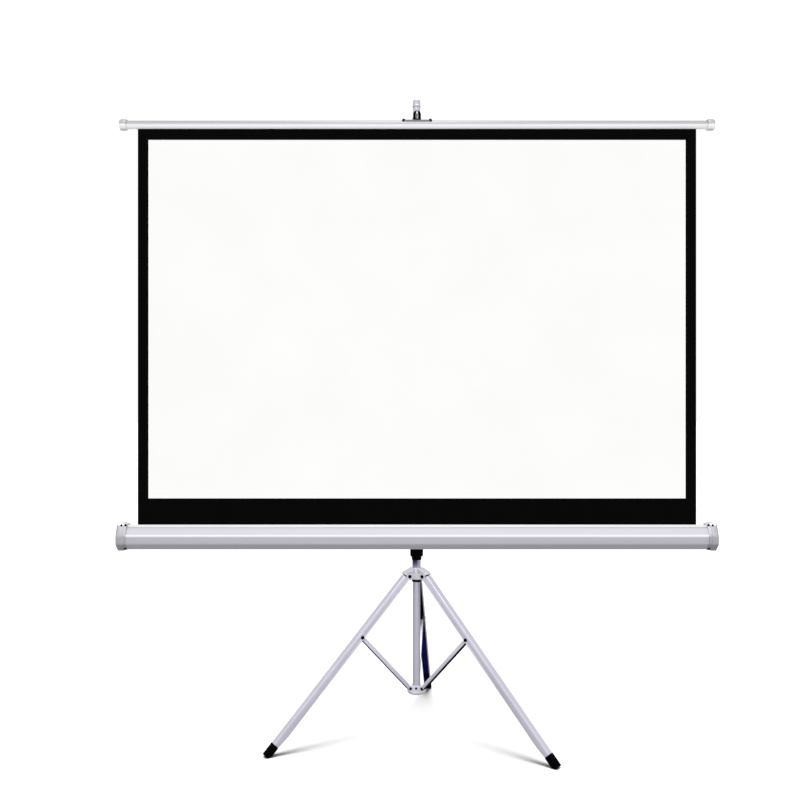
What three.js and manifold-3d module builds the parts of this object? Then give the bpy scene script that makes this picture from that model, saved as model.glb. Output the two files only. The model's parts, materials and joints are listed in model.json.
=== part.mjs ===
// Tripod projection screen: a spring roller screen in an eight-sided case, on a column with folding legs.
// Millimetres, +Z up. The viewing surface faces -Y. The origin is on the floor, under the middle of the box.
import * as THREE from 'three';
import { mergeVertices } from 'three/addons/utils/BufferGeometryUtils.js';
import Module from 'manifold-3d';

const wasm = await Module();
wasm.setup();
const { degToRad } = THREE.MathUtils;

// Fits and facets
const GAP = 0.3; // between pieces that touch or slide
const PAST = 1; // how far a cutting shape goes past the face that it opens
const EDGE = 1; // small edge break
const ROUND_SIDES = 24;
const SMALL_SIDES = 12;
const CORNER_STEPS = 3;
const CROWN_STEPS = 4;

// Viewing surface and its masking border
const IMAGE_W = 1520;
const IMAGE_H = 1013;
const SIDE_BORDER = 28;
const TOP_BORDER = 28;
const BOTTOM_BORDER = 75;
const FABRIC_T = 0.6;

// Legs: pressed channels, open towards the column
const LEG_YAW = 5.84; // degrees that the back leg stands to the right of straight back
const LEG_ANGLE = 42.2; // degrees from vertical when open
const LEG_L = 623; // hub pivot to the end of the foot
const LEG_W = 22;
const LEG_D = 19.5;
const LEG_WALL = 1.4;
const LEG_CORNER_R = 3;
const LEG_OUTER = 14; // pivot line to the outside of the web
const LEG_WEB_START = 8; // the web begins this far below the hub pivot
const LEG_EAR_R = 9.5; // round ears of the side walls, about the hub pivot
const LEG_TAPER_L = 36;
const LEG_TAPER_D = 3.5;
const FOOT_L = 38;
const FOOT_D = 18;
const FOOT_PROUD = 0.8;
const FOOT_SPIGOT_L = 26;
const FOOT_EDGE_R = 1.6;
const SOLE_CUT = 5; // height of the foot's corner that the flat sole takes off

// Hub, struts and spider
const HUB_PIVOT_R = 27;
const HUB_R = 17.5;
const HUB_NECK_R = 14;
const HUB_SHOULDER = 7;
const HUB_ABOVE = 23;
const LUG_R = 10;
const HOOD_W = 25;
const HOOD_CLEAR = 1; // leg ears to the hood over them
const HOOD_SLIT = 2.8; // hood to the top edge of the leg's web
const HOOD_PROUD = 1;
const HOOD_CREST = 70; // degrees above level where the hood's round ends
const PIN_R = 3;
const PIN_HEAD_R = 5;
const PIN_HEAD_T = 2.2;
const BUSH_SHOWN = 8;
const BUSH_SEAT = 6;
const BUSH_RIM = 1.4; // bush beyond the column's outside
const STRUT_AT = 217; // hub pivot to strut pivot, along the leg
const STRUT_W = 13;
const STRUT_D = 12.5;
const STRUT_WALL = 1.2;
const STRUT_EYE_R = 5;
const STRUT_EYE_L = 9; // the strut's web stays this far from its pivots
const STRUT_PIN_R = 2.5;
const STRUT_HEAD_R = 4;
const STRUT_HEAD_T = 1.4;
const SPIDER_DROP = 324; // hub pivot down to spider pivots, legs open
const SPIDER_PIVOT_R = 22;
const SPIDER_COLLAR_T = 3;
const SPIDER_ABOVE = 8;
const SPIDER_BELOW = 17;
const SPIDER_BASE_T = 5;
const DISH_R = 27;
const DISH_ROUND = 8;
const DISH_WALL = 2.5;
const DISH_CLEAR = 0.8; // struts' eyes to the dish's rim
const SET_SCREW_R = 3.4;
const SET_SCREW_PROUD = 2.6;

// Column, lower tube and pole
const COLUMN_R = 12;
const COLUMN_WALL = 1.1;
const COLUMN_L = 840;
const LOWER_TUBE_L = 482;
const TUBE_WALL = 1.2;
const POLE_R = 10.3;
const POLE_L = 800;
const POLE_ABOVE_HOOK = 36.5; // tongue top up to the pole's end
const TIP_R = 11.3;
const TIP_H = 21;
const TIP_RING_H = 6;
const TIP_STEP = 0.9;
const TIP_ROUND = 2.4;
const TIP_SEAT = 14;
const PLUG_L = 16;
const PLUG_RIM = 5;
const COLLAR_T = 6;
const COLLAR_ON_COLUMN = 26;
const COLLAR_ON_POLE = 22;
const COLLAR_EDGE = 2;

// Clamp knobs
const KNOB_R = 17;
const KNOB_LOBES = 5;
const KNOB_STEPS = 8; // facets to a lobe
const KNOB_LOBE_H = 2.6;
const KNOB_T = 11;
const KNOB_EDGE = 2;
const KNOB_NECK_R = 8;
const KNOB_NECK_L = 7;
const KNOB_SCREW_R = 3;
const KNOB_BOSS_R = 9.5;
const KNOB_BOSS_L = 9;

// Carriage and case
const CARRIAGE_WALL = 6.7;
const CARRIAGE_W = 37;
const CARRIAGE_CORNER = 4;
const CARRIAGE_BELOW_CASE = 28;
const CARRIAGE_ABOVE_CASE = 6;
const NOSE_L = 13;
const NOSE_WALL = 1.6;
const SADDLE_T = 2.5;
const SADDLE_L = 120;
const SADDLE_ARM_TOP = 22;
const SADDLE_ARM_LOW = 18;
const SWIVEL_R = 5;
const SWIVEL_HEAD_R = 8.5;
const SWIVEL_HEAD_T = 2.6;
const SWIVEL_SEAT = 4.5;
const CASE_ABOVE_HUB = 86.3;
const CASE_OVER_ROLLER = 26; // shell beyond each end of the roller
const CASE_D = 66;
const CASE_H = 63.5;
const CASE_WALL = 1.4;
const CASE_TOP_BEVEL_D = 17.2;
const CASE_TOP_BEVEL_H = 24;
const CASE_LOW_BEVEL = 16;
const CASE_CORNER_R = 3;
const LIP_H = 6;
const LIP_T = 2;
const LIP_EDGE = 0.8;
const SLOT_W = 6;
const CAP_L = 19.5; // end cap beyond the shell
const CAP_RING_L = 8; // end cap over the shell
const CAP_RING_PROUD = 1.7;
const CAP_PROUD = 3.2;
const CAP_ABOVE_LIP = 4.5;
const CAP_CHAMFER = 4.5;

// Roller
const ROLLER_BACK = 25; // roller axis to the back of the case
const ROLLER_R = 17;
const ROLLER_WALL = 1.5;
const ROLLER_OVER = 12; // roller beyond each edge of the fabric
const WOUND_T = 0.9;
const ROLLER_PLUG_L = 22;
const ROLLER_PLUG_RIM = 3;
const GUDGEON_R = 5;
const GUDGEON_L = 15;
const BEARING_T = 2.4;
const BOSS_WALL = 4;
const BOSS_GAP = 2; // end cap boss to the roller's end
const SHAFT_SIDE = 8;
const SHAFT_L = 165; // shaft inside the roller
const ANCHOR_R = 13;
const ANCHOR_T = 5;
const SPRING_TURNS = 14;
const SPRING_R = 9.6;
const SPRING_WIRE_R = 1.1;
const SPRING_PITCH = 6;
const SPRING_SIDES = 5;
const SPRING_STEPS = 8;

// Top bar, hanger and hook
const BAR_R = 12;
const BAR_WALL = 1.5;
const BAR_OVER_FABRIC = 30; // bar beyond each edge of the fabric
const BAR_SLOT_W = 3.6;
const BAR_STEPS = 22;
const BAR_CAP_R = 15.5;
const BAR_CAP_L = 20;
const BAR_CAP_EDGE = 4;
const BAR_CAP_SEAT = 14;
const HEM_ROD_R = 4;
const HEM_ROD_LOW = 4.5; // hem rod below the bar's axis
const HANGER_L = 84;
const HANGER_T = 2.3;
const HANGER_ARC = 60; // degrees to each side of the top
const HANGER_SCREW_IN = 4.5; // screw axis to the end of the hanger saddle
const HANGER_SCREW_TILT = 36; // degrees that the screws lean forward
const HANGER_SCREW_R = 1.8;
const HANGER_HEAD_R = 4;
const HANGER_HEAD_T = 2.8;
const LOOP_W = 22;
const LOOP_H = 25;
const LOOP_T = 9;
const LOOP_EYE_W = 6.6;
const LOOP_TOP_T = 5.5;
const LOOP_SILL = 2.4;
const HOOK_W = 4.6;
const HOOK_T = 4;
const HOOK_PAST_LOOP = 2;
const HOOK_TIP_H = 2.5;
const BAND_T = 2.2;
const BAND_H = 18;
const RIVET_R = 2.2;
const RIVET_HEAD_R = 4;
const RIVET_HEAD_T = 1.6;

// Heights and planes that follow from the sizes above
const legTilt = degToRad(LEG_ANGLE);
const footOuter = LEG_OUTER + FOOT_PROUD;
const footInner = footOuter - FOOT_D;
const hubZ = LEG_L * Math.cos(legTilt) - footInner * Math.sin(legTilt) - SOLE_CUT;
const strutTop = new THREE.Vector2(
  HUB_PIVOT_R + STRUT_AT * Math.sin(legTilt),
  hubZ - STRUT_AT * Math.cos(legTilt),
);
const spiderZ = hubZ - SPIDER_DROP;
const strutTilt = Math.atan2(strutTop.x - SPIDER_PIVOT_R, strutTop.y - spiderZ);
const strutL = Math.hypot(strutTop.x - SPIDER_PIVOT_R, strutTop.y - spiderZ);
const legInsideW = LEG_W - 2 * LEG_WALL;
const strutInsideW = STRUT_W - 2 * STRUT_WALL;
const boreR = COLUMN_R - COLUMN_WALL;
const lowerTubeR = boreR - GAP;
const hubLow = hubZ - LUG_R;
const hubTop = hubZ + HUB_ABOVE;
const earClearR = LEG_EAR_R + HOOD_CLEAR;
const hoodEnd = LEG_WEB_START - HOOD_SLIT;
const hoodR = Math.hypot(LEG_OUTER + HOOD_PROUD, hoodEnd);
const columnBottom = hubLow + BUSH_SEAT + GAP;
const columnTop = columnBottom + COLUMN_L;
const poleKnobZ = columnTop + COLLAR_ON_POLE / 2;
const carriageFrontY = -(COLUMN_R + GAP + CARRIAGE_WALL);
const saddleBackY = carriageFrontY - GAP;
const saddleFrontY = saddleBackY - SADDLE_T;
const caseBackY = saddleFrontY - SWIVEL_HEAD_T - 2 * GAP;
const caseFrontY = caseBackY - CASE_D;
const caseLow = hubZ + CASE_ABOVE_HUB;
const caseTop = caseLow + CASE_H;
const lipTop = caseTop + LIP_H;
const rollerY = caseBackY - ROLLER_BACK;
const rollerZ = caseLow + CASE_H / 2;
const woundInner = ROLLER_R + GAP;
const woundR = woundInner + WOUND_T;
const fabricY = rollerY - woundR - GAP - FABRIC_T / 2;
const fabricW = IMAGE_W + 2 * SIDE_BORDER;
const rollerHalf = fabricW / 2 + ROLLER_OVER;
const caseHalf = rollerHalf + CASE_OVER_ROLLER;
const barHalf = fabricW / 2 + BAR_OVER_FABRIC;
const bearingOuterR = GUDGEON_R + GAP + BEARING_T;
const socketFrom = rollerHalf + BOSS_GAP;
const socketTo = socketFrom + GUDGEON_L + GAP;
const springStart = rollerHalf - SHAFT_L + SPRING_WIRE_R + 2 * GAP;
const slotFrontY = fabricY - SLOT_W / 2;
const slotBackY = fabricY + SLOT_W / 2;
const swivelZ = caseLow + (CASE_LOW_BEVEL + CASE_H - CASE_TOP_BEVEL_H) / 2;
const barZ = lipTop + BOTTOM_BORDER + IMAGE_H + TOP_BORDER + BAR_R;
const hangerTopR = BAR_R + GAP + HANGER_T;
const hangerScrewX = HANGER_L / 2 - HANGER_SCREW_IN;
const loopLow = barZ + hangerTopR + GAP;
const eyeTop = loopLow + LOOP_H - LOOP_TOP_T;
const eyeR = LOOP_EYE_W / 2;
const tongueTop = eyeTop - eyeR + eyeR * Math.cos(Math.asin(HOOK_W / LOOP_EYE_W)) - GAP;
const poleTop = tongueTop + POLE_ABOVE_HOOK;
const poleBottom = poleTop - POLE_L;
const capFaceX = caseHalf + GAP;

// Finishes
const finish = (color, roughness, metalness) =>
  new THREE.MeshStandardMaterial({ color, roughness, metalness });
const silverPaint = () => finish(0xbdbbc4, 0.42, 0.55);
const paleSilver = () => finish(0xd6d5da, 0.4, 0.5);
const steel = () => finish(0xa8a7ab, 0.35, 0.9);
const blackPlastic = () => finish(0x0d0d0f, 0.5, 0);
const rubber = () => finish(0x101011, 0.8, 0);
const whiteFabric = () => finish(0xf3f3f1, 0.9, 0);

// Closed solid of a geometry, for cutting and joining
function solidOf(geometry) {
  const bare = geometry.clone();
  bare.deleteAttribute('normal');
  bare.deleteAttribute('uv');
  const merged = mergeVertices(bare);
  const index = merged.index.array;
  const corners = [];
  for (let i = 0; i < index.length; i += 3) {
    const [a, b, c] = index.slice(i, i + 3);
    if (a !== b && b !== c && c !== a) corners.push(a, b, c);
  }
  const vertProperties = new Float32Array(merged.attributes.position.array);
  const triVerts = new Uint32Array(corners);
  return new wasm.Manifold(new wasm.Mesh({ numProp: 3, vertProperties, triVerts }));
}

function geometryOf(solid) {
  const { vertProperties, triVerts } = solid.getMesh();
  const geometry = new THREE.BufferGeometry();
  geometry.setAttribute('position', new THREE.BufferAttribute(vertProperties, 3));
  geometry.setIndex(new THREE.BufferAttribute(triVerts, 1));
  return geometry;
}

function combine(operation, base, others) {
  const result = others.reduce((solid, other) => solid[operation](solidOf(other)), solidOf(base));
  return geometryOf(result);
}

const cut = (base, ...tools) => combine('subtract', base, tools);
const join = (base, ...others) => combine('add', base, others);
const common = (base, ...others) => combine('intersect', base, others);

// Shapes and prisms
function outline(points, radius = 0) {
  const shape = new THREE.Shape();
  points.forEach(([x, y], i) => {
    const corner = new THREE.Vector2(x, y);
    const before = new THREE.Vector2(...points.at(i - 1));
    const after = new THREE.Vector2(...points[(i + 1) % points.length]);
    const start = before.sub(corner).setLength(radius).add(corner);
    const end = after.sub(corner).setLength(radius).add(corner);
    if (i === 0) shape.moveTo(start.x, start.y);
    else shape.lineTo(start.x, start.y);
    if (radius > 0) shape.quadraticCurveTo(x, y, end.x, end.y);
  });
  shape.closePath();
  return shape;
}

const rectangle = (x0, y0, x1, y1, radius = 0) => outline([[x0, y0], [x1, y0], [x1, y1], [x0, y1]], radius);

function alongZ(shape, from, to, extras = {}) {
  const options = { depth: to - from, bevelEnabled: false, curveSegments: CORNER_STEPS, ...extras };
  return new THREE.ExtrudeGeometry(shape, options).translate(0, 0, from);
}

// A shape drawn in Y and Z, drawn out along X
function alongX(shape, from, to, extras = {}) {
  const turn = new THREE.Matrix4().makeBasis(
    new THREE.Vector3(0, 1, 0),
    new THREE.Vector3(0, 0, 1),
    new THREE.Vector3(1, 0, 0),
  );
  return alongZ(shape, from, to, extras).applyMatrix4(turn);
}

// A shape drawn in X and Z, drawn out along Y
const alongY = (shape, from, to, extras = {}) => alongZ(shape, -to, -from, extras).rotateX(Math.PI / 2);

// Points on an arc, as [x, y] pairs
function arcPoints(x, y, radius, from, to, steps = CORNER_STEPS) {
  const points = [];
  for (let i = 0; i <= steps; i += 1) {
    const angle = from + ((to - from) * i) / steps;
    points.push([x + radius * Math.cos(angle), y + radius * Math.sin(angle)]);
  }
  return points;
}

// A closed solid through outlines with equally many points, each drawn in Y and Z at its own X
function loft(sections) {
  const count = sections[0].points.length;
  const last = count * (sections.length - 1);
  const positions = sections.flatMap(({ x, points }) => points.flatMap((p) => [x, p.x, p.y]));
  const index = [];
  for (let start = 0; start < last; start += count) {
    for (let i = 0; i < count; i += 1) {
      const a = start + i;
      const b = start + ((i + 1) % count);
      index.push(a, b, b + count, a, b + count, a + count);
    }
  }
  for (const [a, b, c] of THREE.ShapeUtils.triangulateShape(sections[0].points, [])) {
    index.push(c, b, a, last + a, last + b, last + c);
  }
  const geometry = new THREE.BufferGeometry();
  geometry.setAttribute('position', new THREE.Float32BufferAttribute(positions, 3));
  geometry.setIndex(index);
  return geometry;
}

// The piece on the other end, as if seen in a mirror across X
function mirrored(geometry) {
  const flipped = geometry.clone().scale(-1, 1, 1);
  const index = flipped.index.array;
  for (let i = 0; i < index.length; i += 3) {
    [index[i], index[i + 1]] = [index[i + 1], index[i]];
  }
  return flipped;
}

// A solid turned about Z from its [radius, height] profile
function turned(profile, sides = ROUND_SIDES) {
  const points = profile.map(([r, z]) => new THREE.Vector2(r, z));
  return new THREE.LatheGeometry(points, sides).rotateX(Math.PI / 2);
}

const rod = (radius, from, to, sides = SMALL_SIDES) =>
  turned([[0, from], [radius, from], [radius, to], [0, to]], sides);

const ring = (inner, outer, from, to, sides = ROUND_SIDES) =>
  turned([[inner, from], [outer, from], [outer, to], [inner, to], [inner, from]], sides);

const toX = (geometry) => geometry.rotateY(Math.PI / 2);
const toY = (geometry) => geometry.rotateX(-Math.PI / 2);
const onRoller = (geometry) => toX(geometry).translate(0, rollerY, rollerZ);

// A pin across X with a low head on each end
function headedPin(radius, headRadius, headT, halfGrip) {
  const end = halfGrip + headT;
  const crown = headRadius - headT / 2;
  const profile = [
    [0, -end], [crown, -end], [headRadius, -halfGrip - headT / 2], [headRadius, -halfGrip],
    [radius, -halfGrip], [radius, halfGrip],
    [headRadius, halfGrip], [headRadius, halfGrip + headT / 2], [crown, end], [0, end],
  ];
  return toX(turned(profile, SMALL_SIDES));
}

// Scene graph
function group(parent, name, position = [0, 0, 0], tiltX = 0, turnZ = 0) {
  const made = new THREE.Group();
  made.name = name;
  made.position.set(...position);
  made.rotation.set(tiltX, 0, turnZ);
  parent.add(made);
  return made;
}

function piece(parent, name, geometry, material) {
  const mesh = new THREE.Mesh(geometry, material);
  mesh.name = name;
  parent.add(mesh);
}

const azimuths = [0, 120, 240].map((step) => degToRad(LEG_YAW + step));

// Column with the leg hub at its foot and the pole clamp collar at its head
function columnTube() {
  return ring(boreR, COLUMN_R, columnBottom, columnTop);
}

// Hub lug between a leg's ears, in [radius, height] on that leg's plane
function lugOutline() {
  const shape = new THREE.Shape();
  shape.moveTo(COLUMN_R, hubLow);
  shape.lineTo(HUB_PIVOT_R, hubLow);
  shape.absarc(HUB_PIVOT_R, hubZ, LUG_R, -Math.PI / 2, Math.PI / 4, false);
  shape.lineTo(HUB_PIVOT_R, hubZ + hoodR - EDGE);
  shape.lineTo(COLUMN_R, hubZ + hoodR - EDGE);
  shape.closePath();
  return shape;
}

// Hood that roofs over a leg's ears and ends flush with the open leg's web
function hoodOutline() {
  const innerAngle = legTilt - Math.asin(hoodEnd / earClearR);
  const outerAngle = legTilt - Math.asin(hoodEnd / hoodR);
  const shape = new THREE.Shape();
  shape.absarc(HUB_PIVOT_R, hubZ, hoodR, outerAngle, degToRad(HOOD_CREST), false);
  shape.lineTo(HUB_NECK_R, hubTop);
  shape.lineTo(COLUMN_R, hubTop);
  shape.lineTo(COLUMN_R, hubZ + earClearR);
  shape.absarc(HUB_PIVOT_R, hubZ, earClearR, Math.PI / 2, innerAngle, true);
  shape.closePath();
  return shape;
}

function legHub() {
  const shoulder = hubZ + HUB_SHOULDER;
  const rise = hubTop - shoulder;
  const crown = arcPoints(0, 0, 1, 0, Math.PI / 2, CROWN_STEPS)
    .map(([x, y]) => [HUB_NECK_R + (HUB_R - HUB_NECK_R) * x, shoulder + rise * y]);
  const body = turned([[0, hubLow], [HUB_R, hubLow], ...crown, [0, hubTop]]);
  const lugHalf = legInsideW / 2 - GAP;
  const hoodHalf = HOOD_W / 2;
  const steps = { curveSegments: SMALL_SIDES / 2 };
  const lug = () => alongX(lugOutline(), -lugHalf, lugHalf, steps);
  const hood = () => alongX(hoodOutline(), -hoodHalf, hoodHalf, steps);
  const hole = () => toX(rod(PIN_R + GAP, -LEG_W, LEG_W)).translate(0, HUB_PIVOT_R, hubZ);
  const around = (make) => azimuths.map((azimuth) => make().rotateZ(-azimuth));
  const bore = rod(COLUMN_R + GAP, hubLow - PAST, hubTop + PAST, ROUND_SIDES);
  return cut(join(body, ...around(lug), ...around(hood)), bore, ...around(hole));
}

function hubBush() {
  const low = hubLow - BUSH_SHOWN;
  const rim = COLUMN_R + BUSH_RIM;
  return turned([
    [boreR, low], [rim - EDGE, low], [rim, low + EDGE], [rim, hubLow - GAP], [COLUMN_R, hubLow - GAP],
    [COLUMN_R, hubLow + BUSH_SEAT], [boreR, hubLow + BUSH_SEAT], [boreR, low],
  ]);
}

function columnCollar() {
  const low = columnTop - COLLAR_ON_COLUMN;
  const top = columnTop + COLLAR_ON_POLE;
  const outer = COLUMN_R + COLLAR_T;
  const body = turned([
    [0, low], [outer - COLLAR_EDGE, low], [outer, low + COLLAR_EDGE], [outer, top - COLLAR_EDGE],
    [outer - COLLAR_EDGE, top], [0, top],
  ]);
  const boss = toY(rod(KNOB_BOSS_R, 0, outer + KNOB_BOSS_L, ROUND_SIDES)).translate(0, 0, poleKnobZ);
  const columnBore = rod(COLUMN_R + GAP, low - PAST, columnTop + GAP, ROUND_SIDES);
  const poleBore = rod(POLE_R + GAP, low, top + PAST, ROUND_SIDES);
  const screwHole = toY(rod(KNOB_SCREW_R + GAP, 0, outer + 2 * KNOB_BOSS_L)).translate(0, 0, poleKnobZ);
  return cut(join(body, boss), columnBore, poleBore, screwHole);
}

// A lobed clamp knob on its screw, pointing along +Y from the surface that it clamps
function clampKnob(clampedR, bossFaceY) {
  const lobes = [];
  const points = KNOB_LOBES * KNOB_STEPS;
  for (let i = 0; i < points; i += 1) {
    const angle = (2 * Math.PI * i) / points;
    const r = KNOB_R - KNOB_EDGE - KNOB_LOBE_H + KNOB_LOBE_H * Math.cos(KNOB_LOBES * angle);
    lobes.push([r * Math.cos(angle), r * Math.sin(angle)]);
  }
  const edge = { bevelEnabled: true, bevelSize: KNOB_EDGE, bevelThickness: KNOB_EDGE, bevelSegments: 2 };
  const neckFrom = bossFaceY + GAP;
  const headFrom = neckFrom + KNOB_NECK_L;
  const headTo = headFrom + KNOB_T;
  const head = alongY(outline(lobes), headFrom + KNOB_EDGE, headTo - KNOB_EDGE, edge);
  const neck = toY(rod(KNOB_NECK_R, neckFrom, headFrom + KNOB_EDGE, ROUND_SIDES));
  const screw = toY(rod(KNOB_SCREW_R, clampedR + GAP, headFrom + KNOB_EDGE));
  return join(head, neck, screw);
}

// Leg, in a frame at its hub pivot: the leg runs down -Z, its web is on +Y and its pins lie along X
function channelOutline(width, webY, openY, wall, cornerR) {
  const inward = Math.sign(openY - webY);
  const half = width / 2;
  const inside = half - wall;
  const webInner = webY + inward * wall;
  const shape = new THREE.Shape();
  shape.moveTo(-half, openY);
  shape.lineTo(-half, webY + inward * cornerR);
  shape.quadraticCurveTo(-half, webY, -half + cornerR, webY);
  shape.lineTo(half - cornerR, webY);
  shape.quadraticCurveTo(half, webY, half, webY + inward * cornerR);
  shape.lineTo(half, openY);
  shape.lineTo(inside, openY);
  shape.lineTo(inside, webInner);
  shape.lineTo(-inside, webInner);
  shape.lineTo(-inside, openY);
  shape.closePath();
  return shape;
}

function leg() {
  const openY = LEG_OUTER - LEG_D;
  const end = -(LEG_L - FOOT_L - GAP);
  const channel = alongZ(channelOutline(LEG_W, LEG_OUTER, openY, LEG_WALL, LEG_CORNER_R), end, LEG_EAR_R);
  const side = new THREE.Shape();
  side.moveTo(LEG_OUTER, -LEG_WEB_START);
  side.lineTo(LEG_OUTER, end);
  side.lineTo(openY + LEG_TAPER_D, end);
  side.lineTo(openY, end + LEG_TAPER_L);
  side.absarc(0, 0, LEG_EAR_R, Math.acos(openY / LEG_EAR_R), -Math.asin(LEG_WEB_START / LEG_EAR_R), true);
  side.closePath();
  const sides = alongX(side, -LEG_W, LEG_W, { curveSegments: SMALL_SIDES });
  const hubHole = toX(rod(PIN_R + GAP, -LEG_W, LEG_W));
  const strutHole = toX(rod(STRUT_PIN_R + GAP, -LEG_W, LEG_W)).translate(0, 0, -STRUT_AT);
  return cut(common(channel, sides), hubHole, strutHole);
}

function foot() {
  const half = LEG_W / 2 + FOOT_PROUD;
  const inset = FOOT_EDGE_R;
  const top = -(LEG_L - FOOT_L);
  const block = rectangle(-half, footInner, half, footOuter, LEG_CORNER_R);
  const edge = {
    bevelEnabled: true, bevelSize: inset, bevelOffset: -inset, bevelThickness: inset, bevelSegments: 2,
  };
  const body = alongZ(block, -LEG_L + inset, top - inset, edge);
  const spigotHalf = legInsideW / 2 - GAP;
  const spigot = rectangle(
    -spigotHalf, LEG_OUTER - LEG_D + LEG_TAPER_D + GAP, spigotHalf, LEG_OUTER - LEG_WALL - GAP,
  );
  const below = new THREE.BoxGeometry(LEG_L, LEG_L, LEG_L).translate(0, 0, -LEG_L / 2);
  const floor = below.translate(0, LEG_L * Math.sin(legTilt), -hubZ).rotateX(-legTilt);
  return cut(join(body, alongZ(spigot, top - inset, top + FOOT_SPIGOT_L)), floor);
}

// Strut, in a frame at its upper pivot: it runs down -Z, with its web on -Y
function strut() {
  const half = STRUT_D / 2;
  const eye = STRUT_EYE_R;
  const channel = alongZ(
    channelOutline(STRUT_W, -half, half, STRUT_WALL, STRUT_WALL), -strutL - eye, eye,
  );
  const side = new THREE.Shape();
  side.moveTo(-half, -STRUT_EYE_L - eye);
  side.lineTo(-eye, -STRUT_EYE_L);
  side.lineTo(-eye, 0);
  side.absarc(0, 0, eye, Math.PI, 0, true);
  side.lineTo(half, -STRUT_EYE_L);
  side.lineTo(half, -strutL + STRUT_EYE_L);
  side.lineTo(eye, -strutL);
  side.absarc(0, -strutL, eye, 0, Math.PI, true);
  side.lineTo(-eye, -strutL + STRUT_EYE_L);
  side.lineTo(-half, -strutL + STRUT_EYE_L + eye);
  side.closePath();
  const hole = () => toX(rod(STRUT_PIN_R + GAP, -STRUT_W, STRUT_W));
  const sides = alongX(side, -STRUT_W, STRUT_W, { curveSegments: SMALL_SIDES });
  return cut(common(channel, sides), hole(), hole().translate(0, 0, -strutL));
}

// Lower tube with the spider that the struts stand on
function lowerTube() {
  const bottom = spiderZ - SPIDER_BELOW + SPIDER_BASE_T + GAP;
  return ring(lowerTubeR - TUBE_WALL, lowerTubeR, bottom, bottom + LOWER_TUBE_L);
}

function spider() {
  const low = spiderZ - SPIDER_BELOW;
  const floor = low + SPIDER_BASE_T;
  const top = spiderZ + SPIDER_ABOVE;
  const seatR = lowerTubeR + GAP;
  const collarR = seatR + SPIDER_COLLAR_T;
  const eye = STRUT_EYE_R;
  const rim = spiderZ - eye - DISH_CLEAR;
  const roundR = DISH_R - DISH_ROUND;
  const roundZ = low + DISH_ROUND;
  const body = turned([
    [0, low], ...arcPoints(roundR, roundZ, DISH_ROUND, -Math.PI / 2, 0), [DISH_R, rim],
    [DISH_R - DISH_WALL, rim], [DISH_R - DISH_WALL, roundZ], [roundR, floor], [collarR, floor],
    [collarR, top], [seatR, top], [seatR, floor], [0, floor],
  ]);
  const half = strutInsideW / 2 - GAP;
  const root = (seatR + collarR) / 2;
  const shape = new THREE.Shape();
  shape.moveTo(root, floor - EDGE);
  shape.lineTo(roundR, floor - EDGE);
  shape.lineTo(SPIDER_PIVOT_R + eye, spiderZ);
  shape.absarc(SPIDER_PIVOT_R, spiderZ, eye, 0, Math.PI / 2, false);
  shape.lineTo(root, spiderZ + eye);
  shape.closePath();
  const lug = () => alongX(shape, -half, half, { curveSegments: SMALL_SIDES / 2 });
  const hole = () => toX(rod(STRUT_PIN_R + GAP, -STRUT_W, STRUT_W)).translate(0, SPIDER_PIVOT_R, spiderZ);
  const around = (make) => azimuths.map((azimuth) => make().rotateZ(-azimuth));
  const screwHole = toY(rod(SET_SCREW_R / 2 + GAP, -DISH_R, 0)).translate(0, 0, spiderZ);
  return cut(join(body, ...around(lug)), ...around(hole), screwHole.rotateZ(-azimuths[0]));
}

// Set screw at the spider's front, in a frame that is turned with the legs
function setScrew() {
  const faceR = lowerTubeR + GAP + SPIDER_COLLAR_T + GAP;
  const tipR = lowerTubeR + GAP;
  const profile = [
    [0, tipR], [SET_SCREW_R / 2, tipR], [SET_SCREW_R / 2, faceR], [SET_SCREW_R, faceR],
    [SET_SCREW_R, faceR + SET_SCREW_PROUD / 2], [SET_SCREW_R / 2, faceR + SET_SCREW_PROUD],
    [0, faceR + SET_SCREW_PROUD],
  ];
  return toY(turned(profile, SMALL_SIDES)).rotateZ(Math.PI).translate(0, 0, spiderZ);
}

// Carriage that slides on the column and carries the case
function carriage() {
  const low = caseLow - CARRIAGE_BELOW_CASE;
  const top = caseTop + CARRIAGE_ABOVE_CASE;
  const boreRadius = COLUMN_R + GAP;
  const half = CARRIAGE_W / 2;
  const plan = new THREE.Shape();
  plan.moveTo(-half, carriageFrontY + CARRIAGE_CORNER);
  plan.lineTo(-half + CARRIAGE_CORNER, carriageFrontY);
  plan.lineTo(half - CARRIAGE_CORNER, carriageFrontY);
  plan.lineTo(half, carriageFrontY + CARRIAGE_CORNER);
  plan.lineTo(half, 0);
  plan.absarc(0, 0, half, 0, Math.PI, false);
  plan.closePath();
  const body = alongZ(plan, low, top, { curveSegments: ROUND_SIDES / 2 });
  const noseR = boreRadius + NOSE_WALL;
  const noseLow = low - NOSE_L;
  const nose = turned([
    [0, noseLow], [noseR, noseLow], [noseR, noseLow + NOSE_L / 2], [half - EDGE, low],
    [half - EDGE, low + EDGE], [0, low + EDGE],
  ]);
  const boss = toY(rod(KNOB_BOSS_R, 0, half + KNOB_BOSS_L, ROUND_SIDES)).translate(0, 0, swivelZ);
  const bore = rod(boreRadius, noseLow - PAST, top + PAST, ROUND_SIDES);
  const screwHole = toY(rod(KNOB_SCREW_R + GAP, 0, half + 2 * KNOB_BOSS_L)).translate(0, 0, swivelZ);
  const seat = toY(rod(SWIVEL_R + GAP, carriageFrontY - PAST, carriageFrontY + SWIVEL_SEAT + GAP));
  return cut(join(body, nose, boss), bore, screwHole, seat.translate(0, 0, swivelZ));
}

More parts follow.
